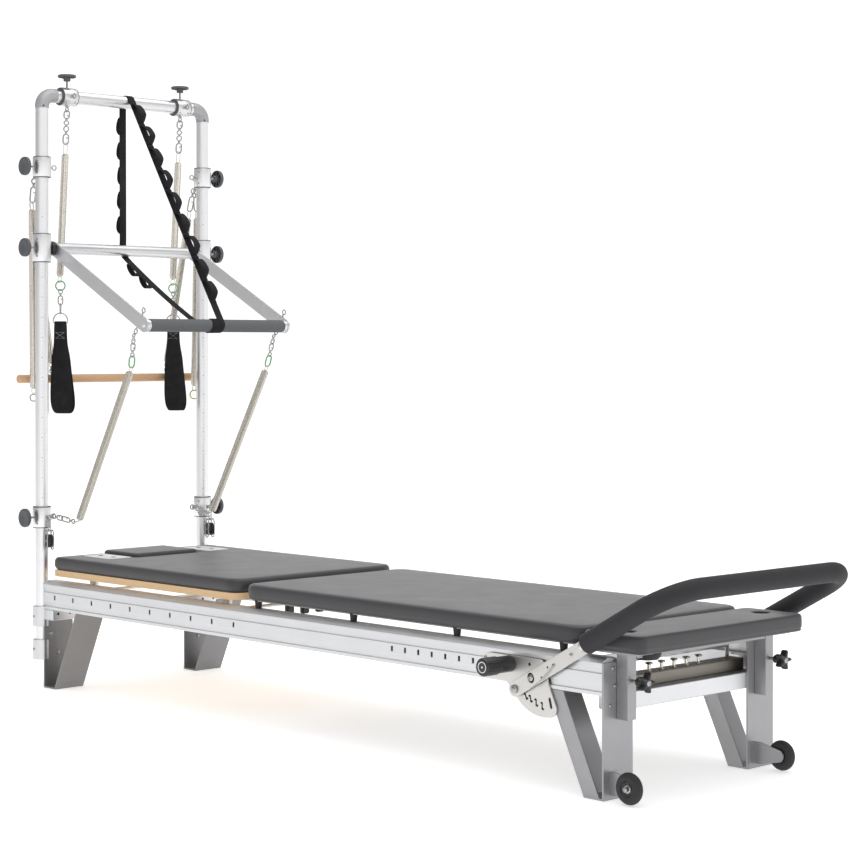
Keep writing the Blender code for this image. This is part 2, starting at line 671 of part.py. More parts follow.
def make_platform():
    start = along(2.275)
    end = along(2.463)
    outline = rounded((start, -PLATFORM_HALF_WIDTH), (end, PLATFORM_HALF_WIDTH), (0.022, 0.022))
    pad = node("platform_pad", sheet([outline], "Z", PLATFORM_BOTTOM, PLATFORM_TOP), VINYL)
    top = PLATFORM_BOTTOM - GAP
    post_low = along(FRAME_LENGTH + SHEET + GAP)
    post_high = along(2.391)
    bar = box((post_low, -0.250, top - 0.020), (post_high, 0.250, top), 0.001)
    frame = node("platform_frame", bar, PAINT)
    for label, side in SIDES:
        hole = Vector((along(2.368), side * 0.262, 0.0))
        cut(pad, rod(hole + Vector((0, 0, 0.370)), hole + Vector((0, 0, 0.42)), 0.022))
        edge = sorted((side * (UPRIGHT_Y - 0.0155), side * (UPRIGHT_Y + 0.0155)))
        upright = box((post_low, edge[0], 0.190), (post_high, edge[1], top), 0.001)
        arm_edge = sorted((side * 0.236, side * 0.300))
        arm = box((along(2.300), arm_edge[0], top - 0.006), (along(2.430), arm_edge[1], top))
        unite(frame, upright, arm)
        place = Vector((post_high + GAP, side * UPRIGHT_Y, 0.2835))
        lobes = []
        for i in range(40):
            angle = 2 * pi * i / 40
            reach = 0.0185 + 0.0072 * cos(5 * angle)
            lobes.append((place.y + reach * cos(angle), place.z + reach * sin(angle)))
        star = sheet([lobes], "X", place.x + 0.031, place.x + 0.053)
        clamp = node("platform_knob_" + label, star, PLASTIC, place)
        unite(clamp, rod(place, place + Vector((0.033, 0, 0)), 0.0055, sides=12))


# --- footbar ---------------------------------------------------------------------------------

def plate_outline():
    """The footbar's side plate: a round end at the plunger and a quadrant below the pivot."""
    points = arc((1.985, 0.2855), 0.031, 90, 270, 8)
    points += [(2.035, 0.2535)]
    points += arc((2.165, 0.300), 0.124, 213, 270, 7)
    points += arc((2.186, 0.200), 0.022, -80, 20, 5)
    points += [(2.180, 0.262)]
    points += arc((2.150, 0.2935), 0.023, 10, 90, 5)
    return [(along(x), z) for x, z in points]


def slot_box(x, z, width, length, tilt, side):
    mesh = box((-width / 2, -0.02, -length / 2), (width / 2, 0.02, length / 2))
    place = Matrix.Translation((along(x), side * (PLATE_Y + 0.0025), z))
    mesh.transform(place @ Matrix.Rotation(radians(tilt), 4, "Y"))
    return mesh


def make_footbar_plates():
    for label, side in SIDES:
        edge = sorted((side * PLATE_Y, side * (PLATE_Y + 0.005)))
        plate = node("footbar_plate_" + label, sheet([plate_outline()], "Y", *edge), STEEL)
        for x, z, tilt in ((2.106, 0.222, -30), (2.122, 0.2175, -18), (2.141, 0.210, -10),
                           (2.161, 0.204, -5)):
            cut(plate, slot_box(x, z, 0.0035, 0.013, tilt, side))
        cut(plate, slot_box(2.188, 0.214, 0.0055, 0.022, -16, side))
        pivot = Vector((along(PIVOT_X), 0, PIVOT_Z))
        inner = Vector((0, side * (PLATE_Y + 0.002), 0))
        bolt = rod(pivot + inner, pivot + Vector((0, side * 0.3478, 0)), 0.006, sides=16)
        head = rod(pivot + Vector((0, side * 0.3475, 0)), pivot + Vector((0, side * 0.352, 0)), 0.011)
        place = Vector((along(PLUNGER_X), 0, PLUNGER_Z))
        barrel = rod(place + inner, place + Vector((0, side * 0.3845, 0)), 0.0205)
        bore = rod(place + Vector((0, side * 0.360, 0)), place + Vector((0, side * 0.39, 0)), 0.0086)
        unite(plate, bolt, head, barrel)
        cut(plate, bore)

        face = Vector((0, side * 0.3848, 0))
        profile = [(0.0, 0.050), (0.019, 0.050), (0.0225, 0.0465), (0.0225, 0.003), (0.020, 0.0)]
        profile += [(0.008, 0.0), (0.008, -0.018), (0.0, -0.018)]
        mesh = turned(profile, False, (0, side, 0), place + face, 16)
        node("plunger_knob_" + label, mesh, PLASTIC, place + face)


def bar_place(reach, y):
    """A point on the footbar's sloping plane, at a distance from its pivot."""
    return (along(PIVOT_X) + reach * cos(BAR_ANGLE), y, PIVOT_Z + reach * sin(BAR_ANGLE))


def bar_path(start):
    """The U of the footbar, from one side's start, round the far rung and back."""
    centre = (BAR_REACH - BAR_CORNER, BAR_Y - BAR_CORNER)
    bend = arc(centre, BAR_CORNER, 90, 0, 6)
    half = [(start, BAR_Y)] + bend
    path = half + [(reach, -y) for reach, y in reversed(half)]
    return [bar_place(reach, y) for reach, y in path]


def make_footbar():
    pivot = Vector((along(PIVOT_X), 0, PIVOT_Z))
    tube_mesh = tube(bar_path(FOAM_START - 0.018), BAR_TUBE_RADIUS, 1)
    bar = node("footbar_frame", tube_mesh, STEEL, pivot)
    end = bar_place(FOAM_START - GAP, 0.0)
    tilt = degrees(BAR_ANGLE)
    outline = arc((pivot.x, pivot.z), 0.0195, tilt + 90, tilt + 270, 12)
    outline += [(end[0] + 0.0175 * side * sin(BAR_ANGLE), end[2] - 0.0175 * side * cos(BAR_ANGLE))
                for side in (1, -1)]
    for label, side in SIDES:
        edge = sorted((side * 0.3405, side * 0.3470))
        arm = sheet([outline], "Y", *edge)
        unite(bar, arm)
        cut(bar, rod(pivot + Vector((0, side * 0.33, 0)), pivot + Vector((0, side * 0.36, 0)), 0.0063))
    foam = node("footbar_grip", tube(bar_path(FOAM_START), FOAM_RADIUS, 3), FOAM, pivot)
    cut(foam, tube(bar_path(FOAM_START - 0.018), BAR_TUBE_RADIUS + GAP * 3, 1))


make_rails()
make_beams()
make_legs()
make_wheels()
make_tower()
make_collars()
make_push_bar()
make_strap()
make_springs()
make_hand_loops()
make_roll_bar()
make_carriage()
make_mat()
make_platform()
make_footbar_plates()
make_footbar()
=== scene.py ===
"""Looks of the pilates reformer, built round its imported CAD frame.

Metres, +Z up. Places along the rails are given from the tower end of the rails, as in part.py,
and P() turns such a place into the row frame. k is -1 on the near side and +1 on the far side.
"""

from math import atan2, cos, degrees, pi, radians, sin

import bmesh
import bpy
import numpy as np
from mathutils import Matrix, Vector


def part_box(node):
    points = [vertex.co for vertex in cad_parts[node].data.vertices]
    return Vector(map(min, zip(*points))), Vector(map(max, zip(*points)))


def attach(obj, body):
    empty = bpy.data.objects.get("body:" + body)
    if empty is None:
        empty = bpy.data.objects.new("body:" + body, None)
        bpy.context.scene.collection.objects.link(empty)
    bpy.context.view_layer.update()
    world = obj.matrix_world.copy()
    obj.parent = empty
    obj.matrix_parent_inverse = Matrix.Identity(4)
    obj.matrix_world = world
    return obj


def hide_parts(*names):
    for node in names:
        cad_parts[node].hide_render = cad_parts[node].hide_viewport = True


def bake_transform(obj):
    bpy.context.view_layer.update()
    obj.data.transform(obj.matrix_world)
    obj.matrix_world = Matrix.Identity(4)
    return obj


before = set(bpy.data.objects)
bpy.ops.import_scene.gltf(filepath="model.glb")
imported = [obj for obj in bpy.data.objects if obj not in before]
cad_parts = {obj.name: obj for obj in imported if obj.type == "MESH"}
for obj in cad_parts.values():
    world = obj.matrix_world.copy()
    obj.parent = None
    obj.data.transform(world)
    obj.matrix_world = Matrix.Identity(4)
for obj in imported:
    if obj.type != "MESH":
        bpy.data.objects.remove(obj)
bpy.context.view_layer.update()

SIDES = (("near", -1), ("far", 1))
TOWER_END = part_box("rail_near")[0].x
X, Y, Z = Vector((1, 0, 0)), Vector((0, 1, 0)), Vector((0, 0, 1))

POST_X = -0.024
POST_Y = 0.321
TUBE = 0.0208
POST_FOOT, POST_LENGTH = 0.088, 1.7487
TOP_Z = 1.878
ELBOW = 0.037
COLLAR = 0.0295
KNOB_RADIUS = 0.0295
ROLL_Z = 1.648
PUSH_Z = 1.3915
LOWER_Z = 0.5375
ARM_Y = 0.226
GRIP_X = 0.462
GRIP_Z = 1.143
GRIP_RADIUS = 0.0198
PUSH_TUBE = 0.0187
SPRING_RADIUS = 0.0121
COIL_PITCH = 2.12
PIVOT = (2.079, 0.237)
BAR_ANGLE = radians(29.0)
BAR_Y = 0.3555
BAR_REACH = 0.580
BAR_CORNER = 0.105
FOAM_START = 0.280
PLATE_FACE = 0.3350
PLUNGER = (2.052, 0.296)
WHEEL = (2.428, 0.040, 0.0385)
WHEEL_Y = {"near": 0.321, "far": 0.270}
AXLES = (("rear", 0.150), ("front", 0.820))
AXLE_Z = 0.3105
BOARD_LOW = 0.353
DOWEL_X, DOWEL_Z, DOWEL_EYE_Y = -0.106, 0.9745, 0.230
PULLEY_X, PULLEY_Z, PULLEY_SWIVEL_Z = 0.0175, 0.4640, 0.4960
RECESS_X, RECESS_Y, RECESS = 2.368, 0.262, 0.022
RIGHT = Vector((0.694, 0.720, 0.0))
AWAY = Vector((-0.720, 0.694, 0.0))
SHADE = 0.46
FLOOR_RADIUS, FLOOR_TOP, FLOOR_GLOW = 24, -0.0004, 0.50


def P(x, y, z):
    return Vector((TOWER_END + x, y, z))


def on_post(k, z):
    return P(POST_X, k * POST_Y, z)


# --- looks -----------------------------------------------------------------------------------

class Look:
    """A node material: a Principled shader fed by layers of procedural texture."""

    def __init__(self, name, colour, roughness, metallic=0.0, slot=None):
        self.made = bpy.data.materials.new(name)
        self.made.use_nodes = True
        self.slot = slot
        self.tree = self.made.node_tree
        self.shader = self.tree.nodes["Principled BSDF"]
        self.colour = (*colour, 1.0)
        self.rough = roughness
        self.shader.inputs["Base Color"].default_value = self.colour
        self.shader.inputs["Roughness"].default_value = roughness
        self.shader.inputs["Metallic"].default_value = metallic
        self.made.diffuse_color = self.colour
        self.place = self.node("ShaderNodeTexCoord").outputs["Object"]
        self.normal = None
        self.tone = None

    def node(self, kind, **values):
        made = self.tree.nodes.new(kind)
        for key, value in values.items():
            if key in made.inputs:
                made.inputs[key].default_value = value
            else:
                setattr(made, key, value)
        return made

    def link(self, output, target):
        self.tree.links.new(output, target)

    def texture(self, kind, output, stretch, **values):
        made = self.node("ShaderNodeTex" + kind, **values)
        mapping = self.node("ShaderNodeMapping", Scale=stretch)
        self.link(self.place, mapping.inputs["Vector"])
        self.link(mapping.outputs["Vector"], made.inputs["Vector"])
        return made.outputs[output]

    def noise(self, scale, stretch=(1, 1, 1), detail=4.0, distortion=0.0):
        return self.texture("Noise", "Fac", stretch, Scale=scale, Detail=detail, Distortion=distortion)

    def cells(self, scale):
        return self.texture("Voronoi", "Distance", (1, 1, 1), Scale=scale)

    def bands(self, scale, direction, stretch=(1, 1, 1)):
        return self.texture("Wave", "Fac", stretch, Scale=scale, bands_direction=direction)

    def span(self, output, low, high, start=0.0, end=1.0):
        """Maps a texture's range from start..end to low..high."""
        ends = {"From Min": start, "From Max": end, "To Min": low, "To Max": high}
        made = self.node("ShaderNodeMapRange", **ends)
        self.link(output, made.inputs["Value"])
        return made.outputs["Result"]

    def tint(self, output, colour):
        """Mixes a second colour in where the texture is high."""
        made = self.node("ShaderNodeMix", data_type="RGBA")
        factor, first, second = made.inputs[0], made.inputs[6], made.inputs[7]
        if self.tone is None:
            first.default_value = self.colour
        else:
            self.link(self.tone, first)
        second.default_value = (*colour, 1.0)
        self.link(output, factor)
        self.tone = made.outputs[2]
        self.link(self.tone, self.shader.inputs["Base Color"])
        return self

    def vary(self, output, spread):
        self.link(self.span(output, self.rough - spread, self.rough + spread),
                  self.shader.inputs["Roughness"])
        return self

    def relief(self, output, depth, strength=1.0):
        made = self.node("ShaderNodeBump", Strength=strength, Distance=depth)
        self.link(output, made.inputs["Height"])
        if self.normal is not None:
            self.link(self.normal, made.inputs["Normal"])
        self.normal = made.outputs["Normal"]
        self.link(self.normal, self.shader.inputs["Normal"])
        return self

    def soften(self, radius):
        """Rounds hard edges in the shading, and tints the rounded edges a little lighter."""
        made = self.node("ShaderNodeBevel", Radius=radius, samples=4)
        self.normal = made.outputs["Normal"]
        self.link(self.normal, self.shader.inputs["Normal"])
        flat = self.node("ShaderNodeNewGeometry").outputs["Normal"]
        dot = self.node("ShaderNodeVectorMath", operation="DOT_PRODUCT")
        self.link(self.normal, dot.inputs[0])
        self.link(flat, dot.inputs[1])
        rounded_edge_tint = self.span(dot.outputs["Value"], 0.5, 0.0, 0.85, 0.995)
        lighter = tuple(min(1.0, c * 1.35 + 0.03) for c in self.colour[:3])
        return self.tint(rounded_edge_tint, lighter)


def metal(name, colour, roughness, grain=(1, 1, 1), slot="aluminium", edge=0.0012):
    look = Look(name, colour, roughness, 1.0, slot).soften(edge)
    brushed = look.noise(900.0, grain, 3.0)
    cloudy = look.noise(9.0, (1, 1, 1), 5.0)
    look.vary(cloudy, 0.07)
    return look.relief(brushed, 0.00003, 0.35)


def plastic(name, colour, roughness, slot=None, grain=1400.0, metallic=0.0):
    look = Look(name, colour, roughness, metallic, slot).soften(0.0008)
    look.vary(look.noise(30.0), 0.08)
    return look.relief(look.noise(grain, detail=2.0), 0.00008, 0.5)


ALUMINIUM = metal("satin_aluminium", (0.83, 0.83, 0.84), 0.34, (1, 1, 0.03))
ARM = metal("brushed_flat_bar", (0.68, 0.68, 0.69), 0.36, (1, 1, 0.1), edge=0.0008)
RAIL = metal("anodised_rail", (0.72, 0.725, 0.74), 0.42, (0.02, 1, 1))
STEEL = metal("brushed_stainless", (0.66, 0.645, 0.62), 0.42, (0.06, 1, 1), "stainless_steel")
NICKEL = metal("nickel_wire", (0.72, 0.685, 0.62), 0.24, slot="nickel_wire", edge=0.0003)
ZINC = metal("zinc_hardware", (0.42, 0.42, 0.41), 0.26, slot="nickel_wire", edge=0.0005)
# A dark brownish copy of the bar metal: painted shade and painted reflection of the dark pad underside
# over the spring bar.
SHADED_BAR_METAL = metal("bar_painted_shade", (0.26, 0.24, 0.21), 0.45, (1, 0.03, 1))

CAST = plastic("cast_elbow", (0.40, 0.40, 0.41), 0.55, None, 500.0, 0.5)
PAINT = plastic("grey_powder_coat", (0.36, 0.36, 0.37), 0.38, "grey_paint", 700.0, 0.70)
# A darker copy of the grey powder coat: painted shade for the head-end legs, whose faces sit in shadow.
PAINT_SHADED = plastic("grey_powder_coat_painted_shade", (0.25, 0.25, 0.255), 0.42, "grey_paint", 700.0, 0.70)
BLACK = plastic("black_plastic", (0.022, 0.022, 0.024), 0.36, "black_plastic")
KNOB = plastic("knob_plastic", (0.085, 0.088, 0.095), 0.48, "knob_plastic")
RUBBER = plastic("black_rubber", (0.020, 0.020, 0.021), 0.62, "black_plastic", 800.0)
WHITE = plastic("white_plastic", (0.80, 0.80, 0.80), 0.40)
GREEN = plastic("green_ring", (0.16, 0.42, 0.20), 0.35)
YELLOW = plastic("yellow_ring", (0.62, 0.55, 0.10), 0.35)
# Near-black fill for holes, slots and bores: painted shade inside openings whose walls sit in shadow.
HOLE_SHADE = plastic("painted_hole_shade", (0.012, 0.012, 0.012), 0.7)


def vinyl(name, colour, roughness):
    look = Look(name, colour, roughness, 0.0, "dark_grey_vinyl")
    look.shader.inputs["Sheen Weight"].default_value = 0.30
    look.shader.inputs["Sheen Roughness"].default_value = 0.40
    pebble = look.cells(620.0)
    look.tint(look.span(look.noise(7.0), 0.0, 0.25), tuple(c * 1.25 for c in colour))
    look.vary(look.noise(14.0), 0.07)
    look.relief(look.noise(16.0, detail=3.0), 0.0012, 0.35)
    return look.relief(pebble, 0.00022, 0.55)


VINYL = vinyl("grey_vinyl", (0.038, 0.0376, 0.0415), 0.44)


def foam(name, colour, slot):
    look = Look(name, colour, 0.72, 0.0, slot)
    look.shader.inputs["Specular IOR Level"].default_value = 0.35
    look.vary(look.noise(60.0), 0.06)
    look.relief(look.noise(45.0, detail=2.0), 0.0006, 0.35)
    return look.relief(look.cells(1500.0), 0.00012, 0.5)


FOAM = foam("charcoal_foam", (0.030, 0.029, 0.032), "black_foam")
GRIP_FOAM = foam("grey_foam", (0.120, 0.124, 0.130), "grey_foam")


def timber(name, colour, dark, grain, slot):
    """Lacquered wood with its fibres along the axis where grain is smallest."""
    look = Look(name, colour, 0.42, 0.0, slot)
    fibre = look.noise(160.0, grain, 6.0, 0.4)
    flow = look.noise(18.0, grain, 3.0, 1.2)
    look.tint(look.span(flow, 0.0, 0.75, 0.35, 0.75), dark)
    look.tint(look.span(fibre, 0.0, 0.45, 0.5, 0.8), tuple(c * 0.8 for c in dark))
    look.vary(fibre, 0.08)
    return look.relief(fibre, 0.0002, 0.4)


BEECH = timber("beech_dowel", (0.66, 0.42, 0.24), (0.54, 0.31, 0.16), (1, 0.03, 1), "beech")
BIRCH = timber("birch_ply", (0.83, 0.63, 0.40), (0.70, 0.48, 0.27), (0.04, 1, 1), "birch_plywood")
BACKING = timber("grey_ply", (0.34, 0.32, 0.29), (0.27, 0.25, 0.22), (0.04, 1, 1), None)
LAYERS = Look("ply_layers", (0.76, 0.52, 0.29), 0.5, 0.0, "birch_plywood")
LAYERS.tint(LAYERS.span(LAYERS.bands(95.0, "Z"), 0.0, 0.55, 0.55, 1.0), (0.55, 0.35, 0.18))
LAYERS.tint(LAYERS.span(LAYERS.noise(300.0, (0.1, 0.1, 1)), 0.0, 0.4, 0.5, 0.8), (0.5, 0.33, 0.18))
LAYERS.relief(LAYERS.noise(500.0, (0.2, 0.2, 1)), 0.0002, 0.5)


def webbing(name, colour, slot):
    """A woven tape: crossed ribs in the relief, and a lighter mottling that is partly dust and partly
    painted sheen.
    """
    look = Look(name, colour, 0.82, 0.0, slot)
    look.shader.inputs["Specular IOR Level"].default_value = 0.18
    # Lighter mottling in the colour: dust, and painted sheen.
    look.tint(look.span(look.noise(40.0), 0.0, 0.5, 0.4, 0.8), tuple(c * 2.2 for c in colour))
    look.vary(look.noise(90.0), 0.08)
    look.relief(look.bands(260.0, "DIAGONAL"), 0.0004, 0.6)
    look.relief(look.bands(260.0, "DIAGONAL", (-1, 1, 1)), 0.0004, 0.6)
    return look.relief(look.noise(1200.0), 0.0002, 0.4)


WEBBING = webbing("black_webbing", (0.016, 0.016, 0.018), "black_webbing")
LOOP_PAD = webbing("loop_fabric", (0.013, 0.013, 0.014), "black_webbing")
STITCH = webbing("pale_stitching", (0.45, 0.47, 0.48), None)


# --- building pieces -------------------------------------------------------------------------

def arc(centre, radius, start, end, count):
    angles = [radians(start + (end - start) * i / count) for i in range(count + 1)]
    return [(centre[0] + radius * cos(a), centre[1] + radius * sin(a)) for a in angles]


def facing(direction):
    return Vector(direction).to_track_quat("Z", "Y").to_matrix()


def smooth_path(points, steps=8):
    """A Catmull-Rom curve through given points."""
    padded = [points[0]] + list(points) + [points[-1]]
    path = []
    for a, b, c, d in zip(padded, padded[1:], padded[2:], padded[3:]):
        for i in range(steps):
            t = i / steps
            path.append(0.5 * (2 * b + (c - a) * t + (2 * a - 5 * b + 4 * c - d) * t * t
                               + (3 * b - a - 3 * c + d) * t ** 3))
    return path + [Vector(points[-1])]


AXIS_TURN = {
    "X": Matrix(((0, 0, 1), (1, 0, 0), (0, 1, 0))),
    "Y": Matrix(((1, 0, 0), (0, 0, -1), (0, 1, 0))),
    "Z": Matrix.Identity(3),
}


class Piece:
    """One named piece: shells of one look gathered in one mesh, riding on a CAD body."""

    def __init__(self, name, look, body, *stands_for):
        self.name = name
        self.look = look
        self.body = body
        self.stands_for = stands_for
        self.bm = bmesh.new()

    def skin(self, rings, loop=False):
        """Joins rings of points into a skin, with flat caps unless the run closes on itself."""
        rows = [[self.bm.verts.new(p) for p in ring] for ring in rings]
        pairs = list(zip(rows, rows[1:]))
        if loop:
            pairs.append((rows[-1], rows[0]))
        for low, high in pairs:
            for i in range(len(low)):
                self.bm.faces.new((low[i - 1], low[i], high[i], high[i - 1]))
        if not loop:
            self.bm.faces.new(rows[0])
            self.bm.faces.new(rows[-1])
        return self

    def lathe(self, profile, origin, axis, closed=False, steps=40):
        """Turns a profile of (radius, height) round an axis through origin."""
        turn = facing(axis)
        rings = []
        for radius, height in profile:
            ring = [turn @ Vector((radius * cos(a), radius * sin(a), height)) + Vector(origin)
                    for a in np.linspace(0, 2 * pi, steps, endpoint=False)]
            rings.append(ring)
        return self.skin(rings, closed)

    def rod(self, start, end, radius, edge=0.0006, steps=28):
        run = Vector(end) - Vector(start)
        edge = min(edge, radius * 0.45, run.length * 0.3)
        length = run.length
        profile = [(radius - edge, 0.0), (radius - edge * 0.3, edge * 0.3), (radius, edge),
                   (radius, length - edge), (radius - edge * 0.3, length - edge * 0.3),
                   (radius - edge, length)]
        return self.lathe(profile, start, run, False, steps)

    def ring(self, centre, axis, radius, wire, steps=28):
        profile = [(radius + wire * cos(a), wire * sin(a))
                   for a in np.linspace(0, 2 * pi, 10, endpoint=False)]
        return self.lathe(profile, centre, axis, True, steps)

    def sweep(self, points, section, up, loop=False):
        """Carries a cross-section of (across, up) offsets along a path."""
        points = [Vector(p) for p in points]
        rings = []
        for i, here in enumerate(points):
            before = points[i - 1] if i or loop else here
            after = points[(i + 1) % len(points)] if i + 1 < len(points) or loop else here
            ahead = (after - before).normalized()
            across = ahead.cross(Vector(up)).normalized()
            lift = across.cross(ahead)
            rings.append([here + across * u + lift * v for u, v in section])
        return self.skin(rings, loop)

    def wire(self, points, radius, up, loop=False, sides=10):
        section = [(radius * cos(a), radius * sin(a))
                   for a in np.linspace(0, 2 * pi, sides, endpoint=False)]
        return self.sweep(points, section, up, loop)

    def tape(self, points, across, width, thick):
        """A flat band with soft edges, its width lying along one direction."""
        w, t, e = width / 2, thick / 2, thick * 0.35
        section = [(t, w - e), (t - e, w), (e - t, w), (-t, w - e),
                   (-t, e - w), (e - t, -w), (t - e, -w), (t, e - w)]
        return self.sweep(points, section, across)

    def merge(self, mesh, matrix):
        extra = bmesh.new()
        extra.from_mesh(mesh)
        bmesh.ops.transform(extra, matrix=matrix, verts=extra.verts)
        bmesh.ops.remove_doubles(extra, verts=extra.verts, dist=0.00001)
        joined = bpy.data.meshes.new("shell")
        extra.to_mesh(joined)
        extra.free()
        self.bm.from_mesh(joined)
        bpy.data.meshes.remove(joined)
        return self

    def flat(self, outlines, axis, low, high, edge=0.0006):
        """Flat outlines made solid between two heights on an axis, with rounded edges."""
        curve = bpy.data.curves.new("outline", "CURVE")
        curve.dimensions = "2D"
        curve.fill_mode = "BOTH"
        edge = min(edge, abs(high - low) * 0.45)
        curve.extrude = abs(high - low) / 2 - edge
        curve.bevel_depth = edge
        curve.bevel_resolution = 1
        curve.offset = -edge
        for outline in outlines:
            spline = curve.splines.new("POLY")
            spline.points.add(len(outline) - 1)
            for place, (u, v) in zip(spline.points, outline):
                place.co = (u, v, 0.0, 1.0)
            spline.use_cyclic_u = True
        helper = bpy.data.objects.new("outline", curve)
        bpy.context.scene.collection.objects.link(helper)
        graph = bpy.context.evaluated_depsgraph_get()
        mesh = bpy.data.meshes.new_from_object(helper.evaluated_get(graph))
        bpy.data.objects.remove(helper)
        middle = (low + high) / 2 * {"X": X, "Y": Y, "Z": Z}[axis]
        return self.merge(mesh, Matrix.Translation(middle) @ AXIS_TURN[axis].to_4x4())

    def box(self, low, high, edge=0.001, turn=None):
        extra = bmesh.new()
        bmesh.ops.create_cube(extra, size=1.0)
        low, high = Vector(low), Vector(high)
        size = Vector([abs(side) for side in high - low])
        bmesh.ops.scale(extra, vec=size, verts=extra.verts)
        edge = min(edge, min(size) * 0.4)
        bmesh.ops.bevel(extra, geom=list(extra.edges), offset=edge, segments=2, affect="EDGES")
        mesh = bpy.data.meshes.new("box")
        extra.to_mesh(mesh)
        extra.free()
        place = Matrix.Translation((low + high) / 2)
        return self.merge(mesh, place @ turn if turn else place)

    def coil(self, start, end, radius, wire):
        """A closely wound spring between two points."""
        start, end = Vector(start), Vector(end)
        turn = facing(end - start)
        length = (end - start).length
        turns = max(4, int(length / (wire * COIL_PITCH)))
        count = turns * 12
        points = []
        for i in range(count + 1):
            a = 2 * pi * i / 12
            height = length * i / count
            points.append(turn @ Vector((radius * cos(a), radius * sin(a), height)) + start)
        return self.wire(points, wire, end - start, sides=5)

    def done(self, angle=38):
        bmesh.ops.recalc_face_normals(self.bm, faces=self.bm.faces)
        mesh = bpy.data.meshes.new(self.name)
        self.bm.to_mesh(mesh)
        self.bm.free()
        mesh.materials.append(self.look.made)
        mesh.shade_smooth()
        mesh.set_sharp_from_angle(angle=radians(angle))
        obj = bpy.data.objects.new(self.name, mesh)
        bpy.context.scene.collection.objects.link(obj)
        if isinstance(self.body, str):
            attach(obj, self.body)
        if self.stands_for:
            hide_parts(*self.stands_for)
        return obj


def carry(look, *nodes):
    """CAD nodes that show as they are, with a finish."""
    for name in nodes:
        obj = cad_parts[name]
        obj.data.materials.clear()
        obj.data.materials.append(look.made)


# --- small hardware --------------------------------------------------------------------------

def oval(centre, along, across, length, width):
    """Points round a stadium shape."""
    along, across = Vector(along).normalized(), Vector(across).normalized()
    r = width / 2
    reach = length / 2 - r
    points = arc((reach, 0), r, -90, 90, 8) + arc((-reach, 0), r, 90, 270, 8)
    return [Vector(centre) + along * u + across * v for u, v in points]


def link(piece, start, end, across, width=0.013, wire=0.0016):
    """A closed oval link reaching from one point to another."""
    start, end = Vector(start), Vector(end)
    run = end - start
    normal = run.cross(Vector(across))
    path = oval((start + end) / 2, run, across, run.length, width)
    return piece.wire(path, wire, normal, True)


def snap_hook(piece, start, end, across, size=1.0):
    """A swivel snap: an eye, a turning neck and a gated hook."""
    start, end = Vector(start), Vector(end)
    run = (end - start).normalized()
    length = (end - start).length
    eye = min(0.018 * size, length * 0.30)
    neck = eye + length * 0.16
    link(piece, start, start + run * eye, across, 0.0160 * size, 0.0024 * size)
    piece.rod(start + run * (eye - 0.001), start + run * neck, 0.0042 * size, 0.001, 16)
    link(piece, start + run * (neck - 0.001), end, across, 0.0180 * size, 0.0027 * size)
    gate = start + run * (neck + (length - neck) * 0.35)
    piece.rod(gate, gate + Vector(across).normalized() * 0.0115 * size, 0.0021 * size, 0.0004, 10)


EYE, EYE_WIRE = 0.0075, 0.0021


def eye_bolt(piece, root, direction, across, length):
    """A threaded eye standing out of a face."""
    root, direction = Vector(root), Vector(direction)
    piece.rod(root, root + direction * 0.004, 0.0065, 0.0008, 6)
    piece.rod(root, root + direction * length, 0.0028, 0.0004, 12)
    piece.ring(root + direction * (length + EYE), across, EYE, EYE_WIRE)


def spring(name, body, start, end, across, tips=(0.030, 0.030), *stands_for):
    """A closed coil with its drawn-in ends and end loops; returns the piece, not yet done."""
    start, end = Vector(start), Vector(end)
    run = (end - start).normalized()
    piece = Piece(name, NICKEL, body, *stands_for)
    wire = 0.00125
    piece.coil(start, end, SPRING_RADIUS - wire, wire)
    for tip, away, reach in ((start, -run, tips[0]), (end, run, tips[1])):
        for radius, step in ((0.0098, 0.0015), (0.0070, 0.0035), (0.0042, 0.0055)):
            piece.ring(tip + away * step, away, radius, wire, 20)
        if reach:
            link(piece, tip + away * 0.004, tip + away * reach, across, 0.011, 0.0014)
    return piece


def bolt(piece, place, normal, radius=0.0055, height=0.0028):
    """A domed socket screw."""
    profile = [(radius, 0.0), (radius, height * 0.45), (radius * 0.8, height * 0.85),
               (radius * 0.45, height), (radius * 0.42, height * 0.55)]
    piece.lathe(profile, place, normal, False, 18)


# --- base frame ------------------------------------------------------------------------------

carry(RAIL, "rail_near", "rail_far", "head_beam", "foot_beam")
# The head-end legs wear the darker copy of the paint as painted shade.
carry(PAINT_SHADED, "leg_head_near", "leg_head_far")
carry(PAINT, "leg_foot_near", "leg_foot_far")

caps = Piece("rail_end_caps", ALUMINIUM, "frame")
for label, k in SIDES:
    outline = [(k * y, z) for y, z in ((0.3295, 0.250), (0.3295, 0.326), (0.320, 0.333),
                                       (0.310, 0.3375), (0.283, 0.3375), (0.2755, 0.3325),
                                       (0.2755, 0.250))]
    caps.flat([outline], "X", TOWER_END - 0.0028, TOWER_END - 0.0002, 0.001)
caps.done(20)

screws = Piece("frame_screws", ZINC, "frame")
# Dark discs in the beam holes: painted shade.
holes = Piece("beam_holes", HOLE_SHADE, "frame")
for label, k in SIDES:
    for y, z in ((0.3057, 0.1705), (0.2793, 0.1076)):
        bolt(screws, P(0.0048, k * y, z), X, 0.0062)
        bolt(screws, P(-0.0002, k * y, z), -X, 0.0062)
    for y, z in ((0.2955, 0.3130), (0.2883, 0.2702), (0.3063, 0.2246)):
        bolt(screws, P(2.3548, k * y, z), X, 0.0048)
    for z in (0.172, 0.121):
        bolt(screws, P(POST_X, k * (POST_Y + 0.0292), z + 0.052 * (z > 0.15)), Y * k, 0.004)
    for y in (0.309, 0.265, 0.235, 0.190):
        holes.rod(P(0.0485, k * y, 0.235), P(0.0503, k * y, 0.235), 0.0042, 0.0001)
screws.done()
holes.done()

